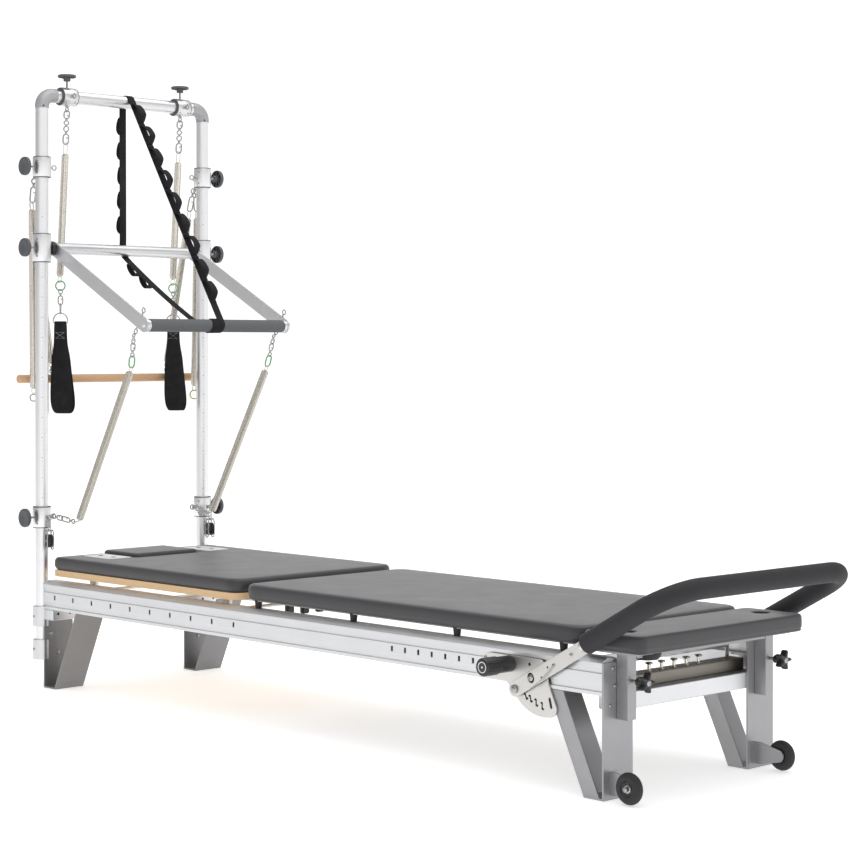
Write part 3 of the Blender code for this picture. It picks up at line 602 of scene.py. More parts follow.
# Dark fills in the rail slots: painted shade.
slots = Piece("rail_slots", HOLE_SHADE, "frame")
for label, k in SIDES:
    for x in [0.061 + 0.0995 * i for i in range(10)] + [1.618 + 0.050 * i for i in range(7)]:
        slots.box(P(x - 0.0038, k * 0.3232, 0.2812), P(x + 0.0038, k * 0.3284, 0.2948), 0.0003)
slots.done()

# The spring bar wears the dark brownish metal: painted shade and reflection from the pad above it.
spring_bar = Piece("spring_bar_looks", SHADED_BAR_METAL, "frame", "spring_bar")
spring_bar.box(P(2.2722, -0.2535, 0.2492), P(2.3198, 0.2535, 0.279), 0.0015)
spring_bar.done()
strip = Piece("spring_strip", STEEL, "frame")
strip.box(P(2.2724, -0.250, 0.3035), P(2.2750, 0.250, 0.3300), 0.0006)
strip.box(P(2.2724, -0.250, 0.2792), P(2.2750, -0.235, 0.3040), 0.0006)
strip.box(P(2.2724, 0.235, 0.2792), P(2.2750, 0.250, 0.3040), 0.0006)
strip.done()
# Dark discs in the strip holes: painted shade.
strip_holes = Piece("spring_strip_holes", HOLE_SHADE, "frame")
for i in range(7):
    y = 0.062 * (i - 3)
    strip_holes.rod(P(2.2748, y, 0.3165), P(2.2753, y, 0.3165), 0.0048, 0.0001)
strip_holes.done()
hooks = Piece("spring_hooks", NICKEL, "frame")
for i in range(5):
    place = P(2.297, 0.048 * (i - 2), 0.2785)
    profile = [(0.0085, 0.0), (0.0085, 0.003), (0.0050, 0.0045), (0.0044, 0.0160), (0.0092, 0.0180),
               (0.0100, 0.0200), (0.0090, 0.0222), (0.0045, 0.0232)]
    hooks.lathe(profile, place, Z, False, 24)
hooks.done()
for label, k in SIDES:
    centre = P(WHEEL[0], k * WHEEL_Y[label], WHEEL[1])
    body = "wheel_" + label
    tread = arc((WHEEL[2] - 0.012, 0.0), 0.012, 78, -78, 12)
    tyre = Piece("wheel_tyre_" + label, RUBBER, body, "transport_wheel_" + label)
    tyre.lathe([(0.0195, 0.0105)] + tread + [(0.0195, -0.0105)], centre, Y, True, 56)
    tyre.done()
    hub = Piece("wheel_hub_" + label, BLACK, body)
    hub.lathe([(0.0196, 0.0095), (0.0196, -0.0095), (0.0180, -0.0110), (0.0165, -0.0090),
               (0.0108, -0.0080), (0.0108, 0.0080), (0.0165, 0.0090), (0.0180, 0.0110)],
              centre, Y, True, 40)
    hub.done()
    bearing = Piece("wheel_bearing_" + label, ZINC, body)
    bearing.lathe([(0.0107, 0.0085), (0.0107, -0.0085), (0.0085, -0.0100), (0.0048, -0.0100),
                   (0.0048, 0.0100), (0.0085, 0.0100)], centre, Y, True, 32)
    bearing.done()
    ribs = Piece("wheel_spokes_" + label, BLACK, body)
    for i in range(6):
        turn = Matrix.Rotation(pi / 3 * i, 4, "Y") @ Matrix.Translation((0.0140, 0, 0))
        ribs.box(centre - Vector((0.0045, 0.0098, 0.0012)), centre + Vector((0.0045, 0.0098, 0.0012)),
                 0.0004, turn)
    ribs.done()
    nut = Piece("wheel_bolt_" + label, ZINC, "frame")
    bolt(nut, centre + Y * k * 0.0157, Y * k, 0.0065, 0.0032)
    nut.done()


# --- tower -----------------------------------------------------------------------------------

for label, k in SIDES:
    post = Piece("post_" + label, ALUMINIUM, "frame", "tower_post_" + label)
    post.lathe([(TUBE, 0.0), (TUBE, POST_LENGTH), (TUBE - 0.002, POST_LENGTH), (TUBE - 0.002, 0.0)],
               on_post(k, POST_FOOT), Z, True, 64)
    post.done()
    dots = Piece("height_marks_" + label, KNOB, "frame")
    side = (X * 0.86 - Y * 0.51)
    for i in range(74):
        z = 0.60 + 0.0127 * i
        if abs(z - PUSH_Z) > 0.046 and abs(z - LOWER_Z) > 0.034:
            wide = 0.0016 if i % 5 else 0.003
            middle = on_post(k, z) + side * (TUBE - 0.0001)
            dots.lathe([(wide / 2, 0.0), (wide / 2, 0.0002)], middle, side, False, 10)
    dots.done()
    clamp = Piece("clamp_" + label, ARM, "frame", "post_clamp_" + label)
    for low, high in ((POST_FOOT, 0.151), (0.193, 0.256)):
        height = high - low
        clamp.lathe([(0.0212, 0.0), (COLLAR - 0.001, 0.0), (COLLAR, 0.001), (COLLAR, height - 0.001),
                     (COLLAR - 0.001, height), (0.0212, height)], on_post(k, low), Z, True, 56)
    clamp.done()
    clamp_plate = Piece("clamp_plate_" + label, ARM, "frame")
    clamp_plate.box(P(-0.0027, k * 0.329, 0.090), P(-0.0003, k * 0.290, 0.254), 0.0006)
    clamp_plate.done()

# The top tube wears the darker flat-bar look rather than the posts' aluminium: painted shade for its
# duller reflections.
top = Piece("top_tube", ARM, "frame", "tower_top_bar")
centre_y = POST_Y - ELBOW
top.lathe([(TUBE, -centre_y), (TUBE, centre_y)], P(POST_X, 0, TOP_Z), Y, False, 64)
top.done()
elbows = Piece("elbows", CAST, "frame")
for label, k in SIDES:
    bend = arc((centre_y, TOP_Z - ELBOW), ELBOW, 0, 90, 14)
    bend = [(POST_Y, TOP_Z - ELBOW - 0.004)] + bend + [(centre_y - 0.012, TOP_Z)]
    path = [P(POST_X, k * y, z) for y, z in bend]
    elbows.wire(path, TUBE + 0.0014, X, False, 48)
elbows.done()
grubs = Piece("elbow_screws", BLACK, "frame")
for label, k in SIDES:
    skew = X * 0.94 - Y * 0.34
    place = on_post(k, TOP_Z - ELBOW + 0.001) + skew * (TUBE + 0.0010)
    grubs.lathe([(0.003, 0.0), (0.003, 0.0008)], place, skew, False, 12)
grubs.done()


def collar(name, body, node, middle, axis, length, studs):
    """A slip-on collar with rounded rims, its set screws and its eye bolts."""
    # Sleeves on the horizontal top tube take the same darker look as painted shade.
    ring = Piece(name, ARM if axis == Y else ALUMINIUM, body, node)
    half = length / 2
    ring.lathe([(0.0211, -half), (COLLAR - 0.0015, -half), (COLLAR - 0.0005, 0.0005 - half),
                (COLLAR, 0.0017 - half), (COLLAR, half - 0.0017), (COLLAR - 0.0005, half - 0.0005),
                (COLLAR - 0.0015, half), (0.0211, half)], middle, axis, True, 64)
    ring.done()
    liner = Piece(name + "_liner", KNOB, body)
    for low, high in ((-half - 0.0022, -half), (half, half + 0.0022)):
        section = [(0.0212, low), (0.0286, low), (0.0286, high), (0.0212, high)]
        liner.lathe(section, middle, axis, True, 48)
    liner.done()
    trim = Piece(name + "_eyes", ZINC, body)
    for direction, across, reach in studs:
        eye_bolt(trim, middle + direction * (COLLAR - 0.001), direction, across, reach)
    for sign in (-1, 1):
        place = middle + Vector(axis) * sign * half * 0.62
        skew = (X * 0.45 - Y * 0.89) if abs(axis[2]) > 0.5 else (X * 0.8 - Z * 0.6)
        bolt(trim, place + skew.normalized() * 0.0287, skew, 0.0034, 0.0016)
    trim.done()


def disc_knob(name, body, node, base, axis, reach, thick=1.0):
    """A round clamp knob: smooth dished face, spoked hollow back, hub and threaded stem."""
    base, axis = Vector(base), Vector(axis)
    cap = Piece(name, KNOB, body, node)
    back, face = reach - 0.006 * thick, reach + 0.006 * thick
    cap.lathe([(0.0060, face - 0.0018), (0.0175, face - 0.0014), (0.0215, face - 0.0002),
               (0.0262, face), (0.0287, face - 0.0012), (KNOB_RADIUS, face - 0.0036),
               (KNOB_RADIUS, back + 0.0012), (0.0286, back), (0.0262, back), (0.0258, face - 0.0042),
               (0.0060, face - 0.0046)], base, axis, True, 56)
    cap.lathe([(0.0105, back - 0.012), (0.0112, back - 0.010), (0.0118, face - 0.004),
               (0.0060, face - 0.0025)], base, axis, False, 32)
    turn = facing(axis).to_4x4()
    for i in range(8):
        spoke = turn @ Matrix.Rotation(pi / 4 * i, 4, "Z") @ Matrix.Translation((0.0185, 0, 0))
        middle = base + axis * (face - 0.0075)
        deep = 0.0036 * thick
        cap.box(middle - Vector((0.0078, 0.0009, deep)), middle + Vector((0.0078, 0.0009, deep)),
                0.0003, spoke)
    cap.done()
    stem = Piece(name + "_stem", ZINC, body)
    stem.rod(base + axis * 0.0005, base + axis * (back - 0.010), 0.0030, 0.0003)
    for i in range(9):
        stem.ring(base + axis * (0.002 + 0.0017 * i), axis, 0.0030, 0.0006, 20)
    stem.done()


for label, k in SIDES:
    out = Y * k
    post = on_post(k, 0)
    rows = (("roll", ROLL_Z, 0.062, "roll_collars", ((-out, X, 0.010), (-X, Y, 0.008))),
            ("push", PUSH_Z, 0.087, "frame", ()),
            ("lower", LOWER_Z, 0.063, "frame", ((-out, X, 0.008), (X, out, 0.008))))
    for kind, height, length, body, studs in rows:
        middle = post + Z * height
        collar(kind + "_sleeve_" + label, body, kind + "_collar_" + label, middle, Z, length, studs)
        disc_knob(kind + "_disc_" + label, kind + "_knob_" + label, kind + "_knob_" + label,
                  middle + out * COLLAR, out, 0.0345)
    middle = P(POST_X, k * ARM_Y, TOP_Z)
    collar("arm_sleeve_" + label, "top_collar_" + label, "arm_collar_" + label, middle, Y, 0.052,
           ((-Z, Y, 0.004), (X, Y, 0.006)))
    disc_knob("arm_disc_" + label, "arm_knob_" + label, "arm_knob_" + label, middle + Z * COLLAR, Z,
              0.0375, 0.7)
    spacer = Piece("push_spacer_" + label, BLACK, "frame")
    inner = post + Z * PUSH_Z
    spacer.rod(inner - out * 0.0288, inner - out * 0.0405, 0.0225, 0.001)
    spacer.rod(inner - out * 0.040, inner - out * 0.058, 0.0078, 0.0005)
    spacer.done()


# --- push-through bar ------------------------------------------------------------------------

pivot = P(POST_X, 0, PUSH_Z)
grip = P(GRIP_X, 0, GRIP_Z)
lean = degrees(atan2(grip.z - pivot.z, grip.x - pivot.x))
arms = Piece("push_arms", ARM, "push_bar", "push_bar_frame")
outline = (arc((grip.x, grip.z), 0.022, lean - 90, lean + 90, 16)
           + arc((pivot.x, pivot.z), 0.022, lean + 90, lean + 270, 16))
bore = arc((pivot.x, pivot.z), 0.0083, 0, 345, 23)
for label, k in SIDES:
    arms.flat([outline, bore], "Y", k * 0.274, k * 0.280, 0.0009)
arms.done(20)
back_tube = Piece("push_back_tube", ARM, "push_bar")
back_tube.lathe([(PUSH_TUBE, -0.2745), (PUSH_TUBE, 0.2745), (0.0085, 0.2745), (0.0085, -0.2745)],
                pivot, Y, True, 56)
back_tube.done()
grip_core = Piece("push_grip_caps", ALUMINIUM, "push_bar")
grip_core.rod(grip - Y * 0.275, grip + Y * 0.275, 0.0100)
for label, k in SIDES:
    for i in range(5):
        start = grip + Y * k * (0.2632 + 0.0025 * i)
        grip_core.rod(start, start + Y * k * 0.0022, 0.0187 - 0.0006 * (i % 2), 0.0005, 40)
    bolt(grip_core, grip + Y * k * 0.2798, Y * k, 0.0068, 0.0034)
grip_core.done()
sleeve = Piece("push_grip_foam", GRIP_FOAM, "push_bar", "push_bar_grip")
sleeve.lathe([(0.0102, -0.262), (0.0180, -0.262), (GRIP_RADIUS, -0.2602), (GRIP_RADIUS, 0.2602),
              (0.0180, 0.262), (0.0102, 0.262)], grip, Y, True, 56)
sleeve.done()
eyes = Piece("push_arm_eyes", ZINC, "push_bar")
ahead = (grip - pivot).normalized()
raised = ahead.cross(Y) * -1
if raised.z < 0:
    raised = -raised
for label, k in SIDES:
    upper = P(0.448, k * 0.277, 1.1700)
    eyes.rod(upper, upper + raised * 0.014, 0.0028, 0.0003, 12)
    eyes.ring(upper + raised * 0.0205, Y, EYE, EYE_WIRE)
    lower = P(0.426, k * 0.277, 1.1420)
    eyes.rod(lower, lower - raised * 0.013, 0.0028, 0.0003, 12)
    eyes.ring(lower - raised * 0.0195, Y, EYE, EYE_WIRE)
eyes.done()

for label, k in SIDES:
    top_end = P(0.372, k * 0.268, 0.996)
    low_end = P(0.105, k * 0.265, 0.538)
    coil = spring("push_coil_" + label, None, low_end, top_end, Y, (0.0, 0.024),
                  "push_spring_" + label).done()
    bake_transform(coil)
    chain = Piece("push_carabiner_" + label, GREEN, "push_springs")
    tip = top_end + (top_end - low_end).normalized() * 0.021
    hook_top = P(0.4075, k * 0.277, 1.1170)
    mid = tip.lerp(hook_top, 0.34)
    link(chain, tip, mid, Y, 0.0200, 0.0024)
    chain.done()
    snap = Piece("push_snap_" + label, ZINC, "push_springs")
    snap_hook(snap, mid + (mid - tip).normalized() * -0.003, mid.lerp(hook_top, 0.58), Y, 0.85)
    snap_hook(snap, hook_top, mid.lerp(hook_top, 0.54), X, 0.85)
    snap.done()
    low = Piece("push_low_hook_" + label, ZINC, "frame")
    eye = P(POST_X, k * 0.2795, LOWER_Z)
    start = low_end - (top_end - low_end).normalized() * 0.004
    bend = start + Vector((-0.018, 0, -0.010))
    low.wire(smooth_path([start, start + Vector((-0.006, 0, -0.006)), bend,
                          bend + Vector((-0.014, 0, 0.000))], 6), 0.0016, Y)
    snap_hook(low, bend + Vector((-0.008, 0, 0)), bend.lerp(eye, 0.62), Z, 0.8)
    snap_hook(low, eye, bend.lerp(eye, 0.58), Z, 0.8)
    low.done()


# --- safety strap ----------------------------------------------------------------------------

STRAP_WIDTH = 0.0265
STRAP_THICK = 0.0022
gap = STRAP_THICK / 2 + 0.0006
wrap = TUBE + gap
under = PUSH_TUBE + gap
reach = GRIP_RADIUS + gap
front = grip.x - TOWER_END


def turned(centre, radius, angle, y):
    """A point of the strap on a bar, by its angle from +X towards +Z."""
    a = radians(angle)
    return P(centre[0] + radius * cos(a), y, centre[1] + radius * sin(a))


def between(start, end, count, sag):
    """Points between two others, hanging a little below the straight line."""
    return [start.lerp(end, i / count) - Z * sag * sin(pi * i / count) for i in range(1, count)]


top_bar, push_bar, hand_bar = (POST_X, TOP_Z), (POST_X, PUSH_Z), (front, GRIP_Z)
route = [turned(top_bar, wrap, a, 0.012) for a in range(180, 24, -12)]
strand = (route[-1], turned(hand_bar, reach, 28, 0.0035))
route += between(*strand, 16, 0.004)
for i in range(34):
    angle = 28 - 505 * i / 33
    route.append(turned(hand_bar, reach + 0.0004 * i / 33, angle, 0.0035 - 0.0290 * i / 33))
slope = (route[-1], turned(push_bar, under, 243, 0.004))
route_back = between(*slope, 14, 0.010)
route_back += [turned(push_bar, under, a, 0.006) for a in (243, 231, 219, 207, 195)]
rise = [P(POST_X - under - (wrap - under) * i / 12, 0.008, PUSH_Z + (TOP_Z - PUSH_Z) * i / 12)
        for i in range(1, 12)]
route_back += rise + [turned(top_bar, wrap + STRAP_THICK, a, 0.010) for a in (182, 170, 158)]


strap = Piece("strap", WEBBING, None, "safety_strap")
strap.tape(route, Y, STRAP_WIDTH, STRAP_THICK)
strap.tape(route_back, Y, STRAP_WIDTH, STRAP_THICK)
strap = strap.done(60)


def daisy(piece, start, end, outward, height, slump):
    """A slack loop between two bar tacks: it stands off the strap and droops to its lower end."""
    path = []
    for i in range(15):
        t = i / 14
        path.append(start.lerp(end, t + slump * sin(pi * t) ** 2)
                    + Vector(outward) * height * sin(pi * t) ** 0.55)
    piece.tape(path, Y, STRAP_WIDTH * 0.92, STRAP_THICK)


loops = Piece("strap_loops", WEBBING, None)
down_strap = (strand[1] - strand[0]).normalized()
proud = Vector((-down_strap.z, 0, down_strap.x))
starts = (0.035, 0.135, 0.235, 0.335, 0.435, 0.53, 0.63, 0.73, 0.825)
for i, share in enumerate(starts):
    tall = 0.026 + 0.003 * sin(2.3 * i)
    a, b = (strand[0].lerp(strand[1], u) + proud * 0.001 for u in (share, share + 0.078))
    daisy(loops, a, b, proud, tall, 0.20)
for i in range(5):
    a, b = (rise[-1].lerp(rise[0], (i + u) / 5) - X * 0.001 for u in (0.06, 0.80))
    daisy(loops, a, b, -X, 0.017 + 0.003 * sin(1.7 * i + 1), 0.10)
below = Vector((-0.35, 0, -0.94))
for share, tall in ((0.93, 0.020), (0.78, 0.024)):
    a, b = (slope[0].lerp(slope[1], u) - Z * 0.008 for u in (share, share - 0.12))
    daisy(loops, a, b, below, tall, 0.12)
loops = loops.done(60)
tacks_dark = Piece("strap_bar_tacks", WEBBING, None)
for share in starts + (0.92,):
    place = strand[0].lerp(strand[1], share - 0.010) + proud * 0.0016
    tacks_dark.tape([place - down_strap * 0.0045, place + down_strap * 0.0045], Y, 0.024, 0.0026)
tacks_dark = tacks_dark.done()
for piece in (strap, loops, tacks_dark):
    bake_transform(piece)


# --- arm springs and hand loops --------------------------------------------------------------

for label, k in SIDES:
    y = k * ARM_Y
    body = "arm_spring_" + label
    top_end, low_end = P(-0.034, y, 1.691), P(-0.0635, y, 1.309)
    coil = spring("arm_coil_" + label, body, top_end, low_end, RIGHT, (0.042, 0.026),
                  "arm_spring_" + label)
    coil.done()
    snaps = Piece("arm_snaps_" + label, ZINC, body)
    eye = P(POST_X, y, 1.8345)
    knee = P(-0.0275, y, 1.7850)
    foot = P(-0.0315, y, 1.7270)
    snap_hook(snaps, knee + Z * 0.004, eye, RIGHT, 0.95)
    snap_hook(snaps, knee, foot, RIGHT, 0.95)
    ring_z = 1.274
    snap_hook(snaps, P(-0.0605, y, 1.2625), P(-0.0605, y, 1.2130), RIGHT, 0.8)
    snap_hook(snaps, P(-0.0605, y, 1.1830), P(-0.0605, y, 1.2160), AWAY, 0.8)
    snaps.done()
    ring = Piece("arm_ring_" + label, GREEN, body)
    ring.ring(P(-0.0610, y, ring_z), AWAY, 0.0150, 0.0022, 36)
    ring.done()

    loop_body = "hand_loop_" + label
    middle = P(-0.0605, y, 0)
    d_ring = Piece("d_ring_" + label, ZINC, loop_body)
    bow = [(0.0230 * cos(radians(a)), 1.162 + 0.0240 * sin(radians(a))) for a in range(0, 181, 12)]
    bow = [(0.0230, 1.1545)] + bow + [(-0.0230, 1.1545)]
    d_ring.wire([middle + RIGHT * u + Z * z for u, z in bow], 0.0021, AWAY, True)
    d_ring.done()

    pad = Piece("loop_pad_" + label, LOOP_PAD, loop_body, "hand_loop_" + label)
    heights = ((1.156, 0.040, 0.0028), (1.145, 0.0405, 0.0048), (1.120, 0.041, 0.0046),
               (1.090, 0.0425, 0.0050), (1.068, 0.049, 0.0062), (1.045, 0.058, 0.0080),
               (1.010, 0.0615, 0.0096), (0.970, 0.067, 0.0116), (0.930, 0.0735, 0.0132),
               (0.897, 0.0745, 0.0140), (0.880, 0.069, 0.0130), (0.869, 0.061, 0.0090),
               (0.8635, 0.050, 0.0030))
    twist = 0.16 * k
    rings = []
    for side in (1, -1):
        rows = heights if side == 1 else heights[::-1][1:]
        for z, width, out in rows:
            share = (1.156 - z) / 0.29
            turn = Matrix.Rotation(twist * share * share, 3, "Z")
            wide, deep = turn @ RIGHT, turn @ AWAY
            lean = RIGHT * (0.010 * share * share)
            here = middle + lean + Z * z - deep * out * side
            thick = 0.0036 if z > 1.07 else 0.0056
            half = width / 2
            edge = min(0.004, thick * 0.5)
            rim = [(half - edge, thick / 2), (half - edge * 0.3, thick * 0.3), (half, 0.0),
                   (half - edge * 0.3, -thick * 0.3), (half - edge, -thick / 2)]
            rim += [(-u, v) for u, v in reversed(rim)]
            tilt = 0.0 if z > 0.880 else (0.880 - z) / 0.0165 * 80
            normal = deep * -side * cos(radians(tilt)) + Z * -sin(radians(tilt))
            rings.append([here + wide * u + normal * v for u, v in rim])
    pad.skin(rings)
    pad = pad.done(70)
    smooth = pad.modifiers.new("smooth", "SUBSURF")
    smooth.levels = smooth.render_levels = 1
    web = Piece("loop_webbing_" + label, WEBBING, loop_body)
    fold = [middle - AWAY * 0.0040 + Z * 1.088, middle - AWAY * 0.0062 + Z * 1.140,
            middle - AWAY * 0.0052 + Z * 1.1535, middle + Z * 1.1590,
            middle + AWAY * 0.0052 + Z * 1.1535, middle + AWAY * 0.0062 + Z * 1.140,
            middle + AWAY * 0.0040 + Z * 1.088]
    web.tape(smooth_path(fold, 5), RIGHT, 0.0375, 0.0018)
    web.done(70)
    tab = Piece("loop_stitching_" + label, STITCH, loop_body)
    high, low = 1.1240, 1.1050
    for from_z, to_z in ((high, high), (low, low), (high, low), (low, high)):
        start = middle - RIGHT * 0.014 - AWAY * 0.0080 + Z * from_z
        end = middle + RIGHT * 0.014 - AWAY * 0.0080 + Z * to_z
        for i in range(9):
            stitch = [start.lerp(end, (i + share) / 9) for share in (0.15, 0.80)]
            tab.wire(stitch, 0.0004, AWAY, False, 5)
    tab.done()


# --- roll-down bar and spare springs ---------------------------------------------------------

dowel = Piece("roll_dowel", BEECH, "roll_down", "roll_down_bar")
dowel.lathe([(0.0115, -0.355), (0.0129, -0.3542), (0.0135, -0.3525), (0.0135, 0.3525),
             (0.0129, 0.3542), (0.0115, 0.355)], P(DOWEL_X, 0, DOWEL_Z), Y, False, 48)
dowel.done()
for label, k in SIDES:
    top_end, low_end = P(-0.092, k * 0.313, 1.509), P(-0.105, k * 0.233, 1.030)
    spring("roll_coil_" + label, "roll_down", top_end, low_end, RIGHT, (0.030, 0.020),
           "roll_spring_" + label).done()
    snaps = Piece("roll_snaps_" + label, ZINC, "roll_down")
    snap_hook(snaps, P(-0.0700, k * 0.3195, 1.6150), P(-0.0880, k * 0.315, 1.5380), RIGHT, 0.9)
    eye_y = k * DOWEL_EYE_Y
    snaps.rod(P(DOWEL_X, eye_y, 0.986), P(DOWEL_X, eye_y, 0.993), 0.0022)
    snaps.ring(P(DOWEL_X, eye_y, 0.9995), X, 0.0065, 0.0018)
    snap_hook(snaps, P(-0.1055, k * 0.2315, 1.0135), P(DOWEL_X, eye_y, 1.0000), X, 0.6)
    snaps.done()
    spare_top = P(-0.066, k * 0.330, 1.510)
    spare_low = P(-0.070, k * 0.322, 0.950)
    spare = spring("spare_coil_" + label, "roll_collars", spare_top, spare_low, RIGHT,
                   (0.030, 0.022))
    spare.done()
    snap = Piece("spare_snap_" + label, ZINC, "roll_collars")
    snap_hook(snap, P(-0.0640, k * 0.3235, 1.6130), P(-0.0660, k * 0.329, 1.5380), RIGHT, 0.9)
    snap.done()
    ring = Piece("spare_ring_" + label, YELLOW if k > 0 else ZINC, "roll_collars")
    ring.ring(P(-0.070, k * 0.322, 0.9150), AWAY, 0.0145 if k > 0 else 0.011, 0.0022, 36)
    ring.done()


# --- pulleys ---------------------------------------------------------------------------------

# The pulleys hang turned, nearly edge on to the front of the tower.
EDGE_ON = (RIGHT * 0.90 + AWAY * 0.44).normalized()
EDGE_SIDE = EDGE_ON.cross(Z)
for label, k in SIDES:
    centre, swivel = (P(PULLEY_X, k * POST_Y, z) for z in (PULLEY_Z, PULLEY_SWIVEL_Z))
    cheeks = Piece("pulley_cheeks_" + label, ZINC, "frame")
    link(cheeks, P(PULLEY_X, k * POST_Y, LOWER_Z - 0.010), swivel, X, 0.0120, 0.0019)
    cheeks.rod(swivel - Z * 0.003, swivel + Z * 0.005, 0.0045)
    for sign in (-1, 1):
        side = centre + EDGE_ON * 0.0098 * sign + Z * 0.003
        cheeks.wire(oval(side, Z, EDGE_SIDE, 0.062, 0.030), 0.0018, EDGE_ON, True)
        cheeks.rod(side + Z * 0.029, swivel, 0.0019)
    cheeks.rod(centre - EDGE_ON * 0.0115, centre + EDGE_ON * 0.0115, 0.0035)
    cheeks.done()
    sheave = Piece("pulley_sheave_" + label, BLACK, "frame")
    for sign in (-1, 1):
        middle = centre + EDGE_ON * 0.0046 * sign
        sheave.lathe([(0.0040, -0.0040), (0.0195, -0.0040), (0.0212, -0.0034), (0.0186, 0.0),
                      (0.0212, 0.0034), (0.0195, 0.0040), (0.0040, 0.0040)], middle, EDGE_ON, True, 40)
    sheave.done()


# --- pads ------------------------------------------------------------------------------------

def rounded(low, high, near, far, count=8):
    """A rectangle with rounded corners, one radius at its tower end and one at its foot end."""
    points = arc((high[0] - far, high[1] - far), far, 0, 90, count)
    points += arc((low[0] + near, high[1] - near), near, 90, 180, count)
    points += arc((low[0] + near, low[1] + near), near, 180, 270, count)
    return points + arc((high[0] - far, low[1] + far), far, 270, 360, count)


def edge_distance(points, outline):
    """How far each point is, in plan, from a closed outline."""
    best = np.full(len(points), 1e9)
    corners = np.array(outline)
    for a, b in zip(corners, np.roll(corners, -1, axis=0)):
        run = b - a
        length = max(run @ run, 1e-12)
        t = np.clip(((points - a) @ run) / length, 0, 1)
        best = np.minimum(best, np.hypot(*(points - a - t[:, None] * run).T))
    return best


def pad(name, body, node, outlines, low, high, edge=0.008, crown=0.0025, fine=0.0055):
    """An upholstered pad: rounded edges, a crowned top, full sides and a tucked lower seam."""
    piece = Piece(name, VINYL, body, node)
    piece.flat(outlines, "Z", low, high, edge)
    obj = piece.done()
    remesh = obj.modifiers.new("even", "REMESH")
    remesh.mode = "VOXEL"
    remesh.voxel_size = fine
    relax = obj.modifiers.new("relax", "SMOOTH")
    relax.factor = 0.5
    relax.iterations = 3
    graph = bpy.context.evaluated_depsgraph_get()
    mesh = bpy.data.meshes.new_from_object(obj.evaluated_get(graph))
    obj.modifiers.clear()
    count = len(mesh.vertices)
    places = np.zeros(count * 3)
    normals = np.zeros(count * 3)
    mesh.vertices.foreach_get("co", places)
    mesh.vertices.foreach_get("normal", normals)
    places, normals = places.reshape(-1, 3), normals.reshape(-1, 3)
    gap = np.min([edge_distance(places[:, :2], outline) for outline in outlines], axis=0)
    up = np.clip(normals[:, 2], 0, 1)
    swell = crown * (1 - np.exp(-gap / 0.035)) - crown * 0.5
    ripple = 0.00012 * np.sin(places[:, 0] * 31 + 2.2 * np.sin(places[:, 1] * 19))
    places[:, 2] += up * (swell + ripple * np.clip(gap / 0.03, 0, 1))
    height = np.clip((places[:, 2] - low) / (high - low), 0, 1)
    sides = 1 - np.abs(normals[:, 2])
    bulge = 0.0014 * np.sin(pi * height) - 0.0022 * np.exp(-((height - 0.16) / 0.045) ** 2)
    places[:, :2] += normals[:, :2] * (bulge * sides)[:, None]
    mesh.vertices.foreach_set("co", places.ravel())
    obj.data = mesh
    mesh.materials.clear()
    mesh.materials.append(VINYL.made)
    mesh.shade_smooth()
    return obj


def plan(node, inset=0.0):
    low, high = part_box(node)
    return (low.x + inset, low.y + inset), (high.x - inset, high.y - inset), low.z, high.z


low, high, _, top_z = plan("mat")
pad("mat_cushion", "mat", "mat", [rounded(low, high, 0.045, 0.045)], 0.360, top_z)
base = Piece("mat_base_board", BACKING, "mat")
base.flat([rounded((low[0] + 0.010, low[1] + 0.010), (high[0] - 0.010, high[1] - 0.010), 0.040, 0.040)],
          "Z", 0.3572, 0.3606, 0.0008)
base.done()
feet = Piece("mat_feet", RUBBER, "mat")
for place in (1.022, 1.425, 1.822, 2.192):
    for label, k in SIDES:
        feet.lathe([(0.0085, 0.0), (0.0090, 0.001), (0.0112, 0.0215), (0.0125, 0.0222)],
                   P(place, k * 0.291, 0.3384), Z, False, 28)
feet.done()

low, high, _, top_z = plan("platform_pad")
recesses = [arc((P(RECESS_X, 0, 0).x, k * RECESS_Y), RECESS, 0, 345, 23) for k in (-1, 1)]
pad("platform_cushion", "platform", "platform_pad", [rounded(low, high, 0.022, 0.022)] + recesses,
    0.355, top_z, 0.005, 0.0015, 0.0035)
carry(PAINT, "platform_frame")
cups = Piece("platform_cups", BLACK, "platform")
cup_screws = Piece("platform_screws", ZINC, "platform")
for label, k in SIDES:
    cups.lathe([(0.0222, 0.0), (0.0222, 0.0265), (0.0212, 0.0265), (0.0212, 0.0015), (0.0, 0.0015),
                (0.0, 0.0)], P(RECESS_X, k * RECESS_Y, 0.3705), Z, False, 36)
    bolt(cup_screws, P(RECESS_X, k * RECESS_Y, 0.3722), Z, 0.0085, 0.0045)
cups.done()
cup_screws.done()
bumper = Piece("platform_bumper", RUBBER, "platform")
bumper.lathe([(0.0350, 0.0), (0.0350, 0.010), (0.0330, 0.0200), (0.0270, 0.0270), (0.0150, 0.0290)],
             P(2.378, -0.198, 0.3545), -Z, False, 36)
bumper.done()

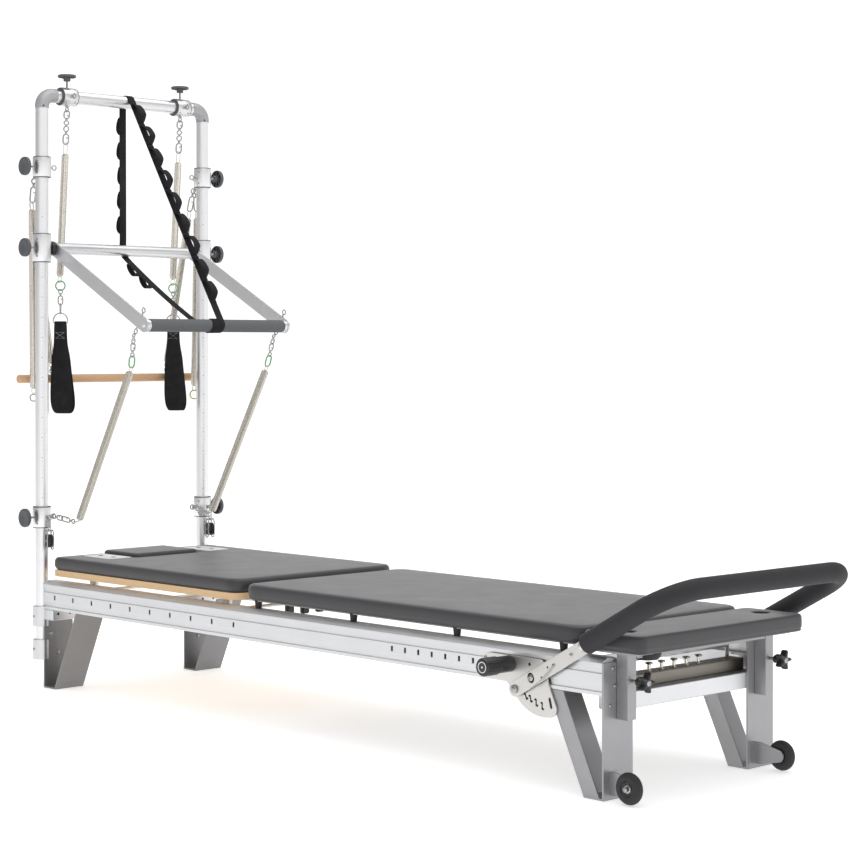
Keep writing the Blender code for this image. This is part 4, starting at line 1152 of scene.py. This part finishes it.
low, high, _, board_top = plan("carriage_board")
board = Piece("board_faces", BIRCH, "carriage", "carriage_board")
inner_low, inner_high, _, _ = plan("carriage_board", 0.0004)
board.flat([rounded(inner_low, inner_high, 0.012, 0.045)], "Z", BOARD_LOW, board_top, 0.0008)
board.done(20)
layers = Piece("board_edge", LAYERS, "carriage")
layers.flat([rounded(low, high, 0.012, 0.045)], "Z", BOARD_LOW + 0.0012, board_top - 0.0012, 0.0002)
layers.done(20)
hangers = Piece("axle_hangers", STEEL, "carriage")
for name, place in AXLES:
    x = TOWER_END + place
    shape = [(x - 0.018, BOARD_LOW + 0.0005), (x - 0.011, 0.306)]
    shape += arc((x, AXLE_Z), 0.0115, 200, 340, 8)
    shape += [(x + 0.011, 0.306), (x + 0.018, BOARD_LOW + 0.0005)]
    bore = arc((x, AXLE_Z), 0.0056, 0, 340, 17)
    for label, k in SIDES:
        hangers.flat([shape, bore], "Y", k * 0.2365, k * 0.2485, 0.0008)
hangers.done()
for name, place in AXLES:
    centre = P(place, 0, AXLE_Z)
    axle = Piece("axle_" + name, STEEL, "axle_" + name, "carriage_axle_" + name)
    axle.rod(centre - Y * 0.271, centre + Y * 0.271, 0.0050)
    axle.done()
    rollers = Piece("axle_rollers_" + name, BLACK, "axle_" + name)
    for label, k in SIDES:
        rollers.lathe([(0.0051, 0.0), (0.0150, 0.0), (0.0185, 0.0008), (0.0200, 0.0030),
                       (0.0200, 0.0110), (0.0185, 0.0132), (0.0150, 0.0140), (0.0051, 0.0140)],
                      centre + Y * k * 0.2565, Y * k, True, 40)
    rollers.done()

parked = Piece("carriage_springs", NICKEL, "carriage")
ends = Piece("carriage_spring_ends", BLACK, "carriage")
for i in range(5):
    y = 0.058 * (i - 2)
    parked.coil(P(0.640, y, 0.3375), P(0.945, y, 0.3375), 0.0102, 0.0012)
    link(parked, P(0.643, y, 0.3375), P(0.615, y, 0.3400), Y, 0.013, 0.0014)
    ends.box(P(0.942, y - 0.0135, 0.2960), P(0.958, y + 0.0135, 0.3495), 0.003)
parked.done()
ends.done()

low, high, bottom, top_z = plan("carriage_pad")
notch_x, notch_y = P(0.2135, 0, 0).x, 0.124
outline = arc((high[0] - 0.045, high[1] - 0.045), 0.045, 0, 90, 8)
outline += arc((low[0] + 0.012, high[1] - 0.012), 0.012, 90, 180, 4)
outline += [(low[0], notch_y), (notch_x, notch_y), (notch_x, -notch_y), (low[0], -notch_y)]
outline += arc((low[0] + 0.012, low[1] + 0.012), 0.012, 180, 270, 4)
outline += arc((high[0] - 0.045, low[1] + 0.045), 0.045, 270, 360, 8)
pad("carriage_cushion", "carriage", "carriage_pad", [outline], bottom, top_z)
low, high, bottom, top_z = plan("headrest", 0.001)
pad("headrest_cushion", "headrest", "headrest", [rounded(low, high, 0.012, 0.008)], bottom, top_z,
    0.006, 0.002, 0.004)
# A black rod at the hinge line in the gap between headrest and carriage pad: a hinge, drawn black as
# painted shade of that gap.
hinge_strip = Piece("headrest_hinge", BLACK, "carriage")
hinge_strip.rod(P(0.2125, -0.095, 0.3775), P(0.2125, 0.095, 0.3775), 0.0024)
hinge_strip.done()
sockets = Piece("shoulder_sockets", WHITE, "carriage")
# Dark discs in the socket holes: painted shade.
socket_holes = Piece("socket_holes", HOLE_SHADE, "carriage")
for label, k in SIDES:
    a, b = sorted((k * 0.150, k * 0.240))
    sockets.flat([rounded(P(0.080, a, 0).xy, P(0.225, b, 0).xy, 0.010, 0.010, 4)], "Z", 0.4142, 0.4162,
                 0.0007)
    for x in (0.118, 0.186):
        socket_holes.rod(P(x, k * 0.195, 0.4155), P(x, k * 0.195, 0.4165), 0.0085, 0.0001)
sockets.done()
socket_holes.done()


# --- star knobs of the platform --------------------------------------------------------------

for label, k in SIDES:
    base = P(2.3913, k * 0.268, 0.2835)
    star = Piece("star_" + label, BLACK, "star_knob_" + label, "platform_knob_" + label)
    lobes = []
    for i in range(80):
        a = 2 * pi * i / 80
        reach = 0.0178 + 0.0070 * cos(5 * a) + 0.0010 * cos(10 * a)
        lobes.append((base.y + reach * cos(a), base.z + reach * sin(a)))
    star.flat([lobes], "X", base.x + 0.0320, base.x + 0.0520, 0.0042)
    star.rod(base + X * 0.017, base + X * 0.035, 0.0105)
    star.done(60)
    stem = Piece("star_stem_" + label, ZINC, "star_knob_" + label)
    stem.rod(base + X * 0.0004, base + X * 0.019, 0.0042, 0.0003)
    stem.done()
    cap = Piece("star_cap_" + label, ZINC, "star_knob_" + label)
    cap.lathe([(0.0072, 0.0), (0.0072, 0.0010), (0.0062, 0.0020), (0.0034, 0.0024), (0.0030, 0.0012)],
              base + X * 0.0512, X, False, 28)
    cap.done()


# --- footbar ---------------------------------------------------------------------------------

def bar_place(reach, y, lift=0.0):
    return P(PIVOT[0] + reach * cos(BAR_ANGLE) - lift * sin(BAR_ANGLE), y,
             PIVOT[1] + reach * sin(BAR_ANGLE) + lift * cos(BAR_ANGLE))


def bar_path(start):
    centre = (BAR_REACH - BAR_CORNER, BAR_Y - BAR_CORNER)
    half = [(start, BAR_Y), (start + 0.004, BAR_Y)] + arc(centre, BAR_CORNER, 90, 0, 14)
    path = half + [(reach, -y) for reach, y in reversed(half)]
    return [bar_place(reach, y) for reach, y in path]


PLANE_NORMAL = Vector((-sin(BAR_ANGLE), 0, cos(BAR_ANGLE)))
tube = Piece("footbar_tube", STEEL, "footbar", "footbar_frame")
tube.wire(bar_path(FOAM_START - 0.017), 0.0125, PLANE_NORMAL, False, 32)
tube.done()
sleeve = Piece("footbar_foam", FOAM, "footbar", "footbar_grip")
path = bar_path(FOAM_START)
sleeve.wire(path, 0.0238, PLANE_NORMAL, False, 48)
body_path = bar_path(FOAM_START + 0.0015)
sleeve.wire(body_path, 0.0255, PLANE_NORMAL, False, 48)
sleeve.done(60)

bar_arms = Piece("footbar_arms", STEEL, "footbar")
start = bar_place(0, 0)
tilt = degrees(BAR_ANGLE)
corners = [bar_place(FOAM_START - 0.0008, 0, side * 0.0175) for side in (-1, 1)]
outline = [(p.x, p.z) for p in corners] + arc((start.x, start.z), 0.0195, tilt + 90, tilt + 270, 14)
middle = bar_place(0.064, 0, 0.003)
slot = [(p.x, p.z) for p in oval(middle, bar_place(0, 0, 1) - bar_place(0, 0), bar_place(1, 0)
                                 - bar_place(0, 0), 0.0255, 0.0205)]
bore = arc((start.x, start.z), 0.0063, 0, 345, 23)
small = [arc((p.x, p.z), 0.0030, 0, 330, 11) for p in (bar_place(0.128, 0, 0.004),
                                                      bar_place(0.098, 0, -0.010))]
for label, k in SIDES:
    bar_arms.flat([outline, bore, slot] + small, "Y", k * 0.3405, k * 0.3470, 0.0009)
bar_arms.done(20)
arm_bits = Piece("footbar_arm_screws", ZINC, "footbar")
# Dark fills in the arm slots: painted shade.
arm_slot_shade = Piece("footbar_arm_slots", HOLE_SHADE, "footbar")
for label, k in SIDES:
    arm_slot_shade.flat([slot], "Y", k * 0.3408, k * 0.3460, 0.0001)
    for reach, lift in ((0.064, 0.003), (0.215, 0.0), (0.150, 0.0)):
        place = bar_place(reach, k * (0.3461 if reach < 0.1 else 0.3468), lift)
        bolt(arm_bits, place, Y * k, 0.0082 if reach < 0.1 else 0.0045, 0.0036)
    hook_points = [bar_place(0.150, k * 0.3505, 0.0), bar_place(0.120, k * 0.352, -0.010),
                   bar_place(0.085, k * 0.352, -0.0185), bar_place(0.055, k * 0.352, -0.021)]
    arm_bits.wire(smooth_path(hook_points, 6), 0.0012, Y)
arm_bits.done()
arm_slot_shade.done()

for label, k in SIDES:
    plate = Piece("side_plate_" + label, STEEL, "frame", "footbar_plate_" + label)
    shape = arc((1.985, 0.2855), 0.031, 90, 270, 14) + [(2.035, 0.2535)]
    shape += arc((2.165, 0.300), 0.124, 213, 270, 12) + arc((2.186, 0.200), 0.022, -80, 20, 8)
    shape += [(2.180, 0.262)] + arc((2.150, 0.2935), 0.023, 10, 90, 8)
    shape = [(TOWER_END + x, z) for x, z in shape]
    cuts = [arc((TOWER_END + 2.118, 0.301), 0.0045, 0, 330, 11)]
    for x, z, lean in ((2.106, 0.222, -30), (2.122, 0.2175, -18), (2.141, 0.210, -10),
                       (2.161, 0.204, -5)):
        middle = Vector((TOWER_END + x, z))
        turn = Matrix.Rotation(radians(-lean), 2)
        hook = [(-0.0062, 0.0075), (-0.0020, 0.0105), (0.0030, 0.0080), (0.0010, -0.0040),
                (0.0060, -0.0070), (0.0030, -0.0105), (-0.0038, -0.0080), (-0.0018, 0.0045)]
        cuts.append([tuple(middle + turn @ Vector(point)) for point in hook])
    middle = Vector((TOWER_END + 2.188, 0.214))
    turn = Matrix.Rotation(radians(16), 2)
    cuts.append([tuple(middle + turn @ Vector(point)) for point in
                 arc((0, 0.010), 0.0038, 0, 180, 6) + arc((0, -0.010), 0.0038, 180, 360, 6)])
    plate.flat([shape] + cuts, "Y", k * 0.3303, k * 0.3353, 0.0007)
    plate.done(20)
    # Dark fills in the plate cuts: painted shade on the cut walls.
    plate_slot_shade = Piece("side_plate_slot_shade_" + label, HOLE_SHADE, "frame")
    for cut in cuts:
        plate_slot_shade.flat([cut], "Y", k * 0.3306, k * 0.3346, 0.0001)
    plate_slot_shade.done()
    studs = Piece("side_plate_screws_" + label, ZINC, "frame")
    pivot_place = P(PIVOT[0], k * PLATE_FACE, PIVOT[1])
    studs.rod(pivot_place, pivot_place + Y * k * 0.0128, 0.0060)
    studs.rod(pivot_place + Y * k * 0.0124, pivot_place + Y * k * 0.0170, 0.0108, 0.001, 36)
    bolt(studs, pivot_place + Y * k * 0.0168, Y * k, 0.0062, 0.0026)
    for x, z in ((1.968, 0.302), (1.968, 0.268), (2.150, 0.296)):
        bolt(studs, P(x, k * PLATE_FACE, z), Y * k, 0.0052, 0.0026)
    studs.done()
    place = P(PLUNGER[0], 0, PLUNGER[1])
    barrel = Piece("plunger_barrel_" + label, BLACK, "frame")
    barrel.lathe([(0.0205, 0.335), (0.0205, 0.3835), (0.0195, 0.3845), (0.0086, 0.3845),
                  (0.0086, 0.362), (0.0190, 0.360), (0.0190, 0.335)], place, Y * k, True, 48)
    barrel.done()
    knob = Piece("plunger_cap_" + label, BLACK, "plunger_" + label, "plunger_knob_" + label)
    rows = []
    for radius, height in ((0.0080, 0.3668), (0.0080, 0.3850), (0.0205, 0.3850), (0.0222, 0.3870),
                           (0.0222, 0.4300), (0.0205, 0.4335), (0.0175, 0.4348), (0.0160, 0.4330)):
        ring = []
        for i in range(96):
            a = 2 * pi * i / 96
            ribbed = radius + (0.0006 * (i % 4 < 2) if radius > 0.022 else 0.0)
            ring.append(facing(Y * k) @ Vector((ribbed * cos(a), ribbed * sin(a), height)) + place)
        rows.append(ring)
    knob.skin(rows)
    knob.done(30)
    mark = Piece("plunger_ring_" + label, WHITE, "plunger_" + label)
    mark.lathe([(0.0140, 0.4329), (0.0140, 0.4337), (0.0118, 0.4337), (0.0118, 0.4329)], place, Y * k,
               True, 40)
    mark.lathe([(0.0026, 0.4329), (0.0026, 0.4338)], place, Y * k, False, 20)
    mark.done()


# --- stage, light and camera -----------------------------------------------------------------

bpy.context.scene.view_settings.view_transform = "Standard"

floor_look = Look("pale_floor", (0.90, 0.90, 0.905), 0.75)
floor_look.vary(floor_look.noise(3.0), 0.05)
floor_look.shader.inputs["Emission Color"].default_value = (1.0, 1.0, 1.0, 1.0)
floor_look.shader.inputs["Emission Strength"].default_value = FLOOR_GLOW
floor = Piece("floor", floor_look, None)
outline = [(FLOOR_RADIUS * cos(a), FLOOR_RADIUS * sin(a))
           for a in np.linspace(0, 2 * pi, 64, endpoint=False)]
floor.flat([outline], "Z", FLOOR_TOP - 0.020, FLOOR_TOP, 0.001)
floor.done()

world = bpy.data.worlds.new("studio")
bpy.context.scene.world = world
world.use_nodes = True
sky = world.node_tree
ray = sky.nodes.new("ShaderNodeTexCoord").outputs["Generated"]


def along_ray(direction, start, end, low, high):
    """A brightness that runs smoothly across the studio in one direction."""
    dot = sky.nodes.new("ShaderNodeVectorMath")
    dot.operation = "DOT_PRODUCT"
    dot.inputs[1].default_value = direction
    sky.links.new(ray, dot.inputs[0])
    ramp = sky.nodes.new("ShaderNodeMapRange")
    ramp.interpolation_type = "SMOOTHSTEP"
    for socket, value in zip(("From Min", "From Max", "To Min", "To Max"), (start, end, low, high)):
        ramp.inputs[socket].default_value = value
    sky.links.new(dot.outputs["Value"], ramp.inputs["Value"])
    return ramp.outputs["Result"]


def combined(operation, first, second, value=0.0):
    made = sky.nodes.new("ShaderNodeMath")
    made.operation = operation
    sky.links.new(first, made.inputs[0])
    if second is None:
        made.inputs[1].default_value = value
    else:
        sky.links.new(second, made.inputs[1])
    return made.outputs["Value"]


across = along_ray(RIGHT, -1.0, -0.15, SHADE, 1.0)
low_band = along_ray(Z, 0.24, 0.42, 1.0, 0.21)
back = along_ray(AWAY, 0.62, 0.90, 0.0, 1.15)
above = along_ray(Z, 0.45, 0.75, 0.0, 0.80)
level = combined("MULTIPLY", low_band, None, 1.60)
ring = combined("MINIMUM", combined("MAXIMUM", across, back), level)
sky.links.new(combined("MAXIMUM", ring, above), sky.nodes["Background"].inputs["Strength"])
sky.nodes["Background"].inputs["Color"].default_value = (1.0, 1.0, 1.0, 1.0)


def softbox(name, place, target, size, power):
    light = bpy.data.lights.new(name, "AREA")
    light.shape = "RECTANGLE"
    light.size, light.size_y = size
    light.energy = power
    obj = bpy.data.objects.new(name, light)
    obj.location = place
    obj.rotation_euler = (Vector(target) - Vector(place)).to_track_quat("-Z", "Y").to_euler()
    bpy.context.scene.collection.objects.link(obj)


softbox("overhead", (0.4, 0.2, 4.6), (0, 0, 0.4), (5.5, 4.0), 95)

camera_data = bpy.data.cameras.new("camera")
camera_data.lens = 89.4
camera_data.shift_y = -0.098
camera = bpy.data.objects.new("camera", camera_data)
camera.location = (TOWER_END + 5.716, -4.139, 1.081)
camera.rotation_euler = (radians(90), 0.0, radians(46.07))
bpy.context.scene.collection.objects.link(camera)
bpy.context.scene.camera = camera
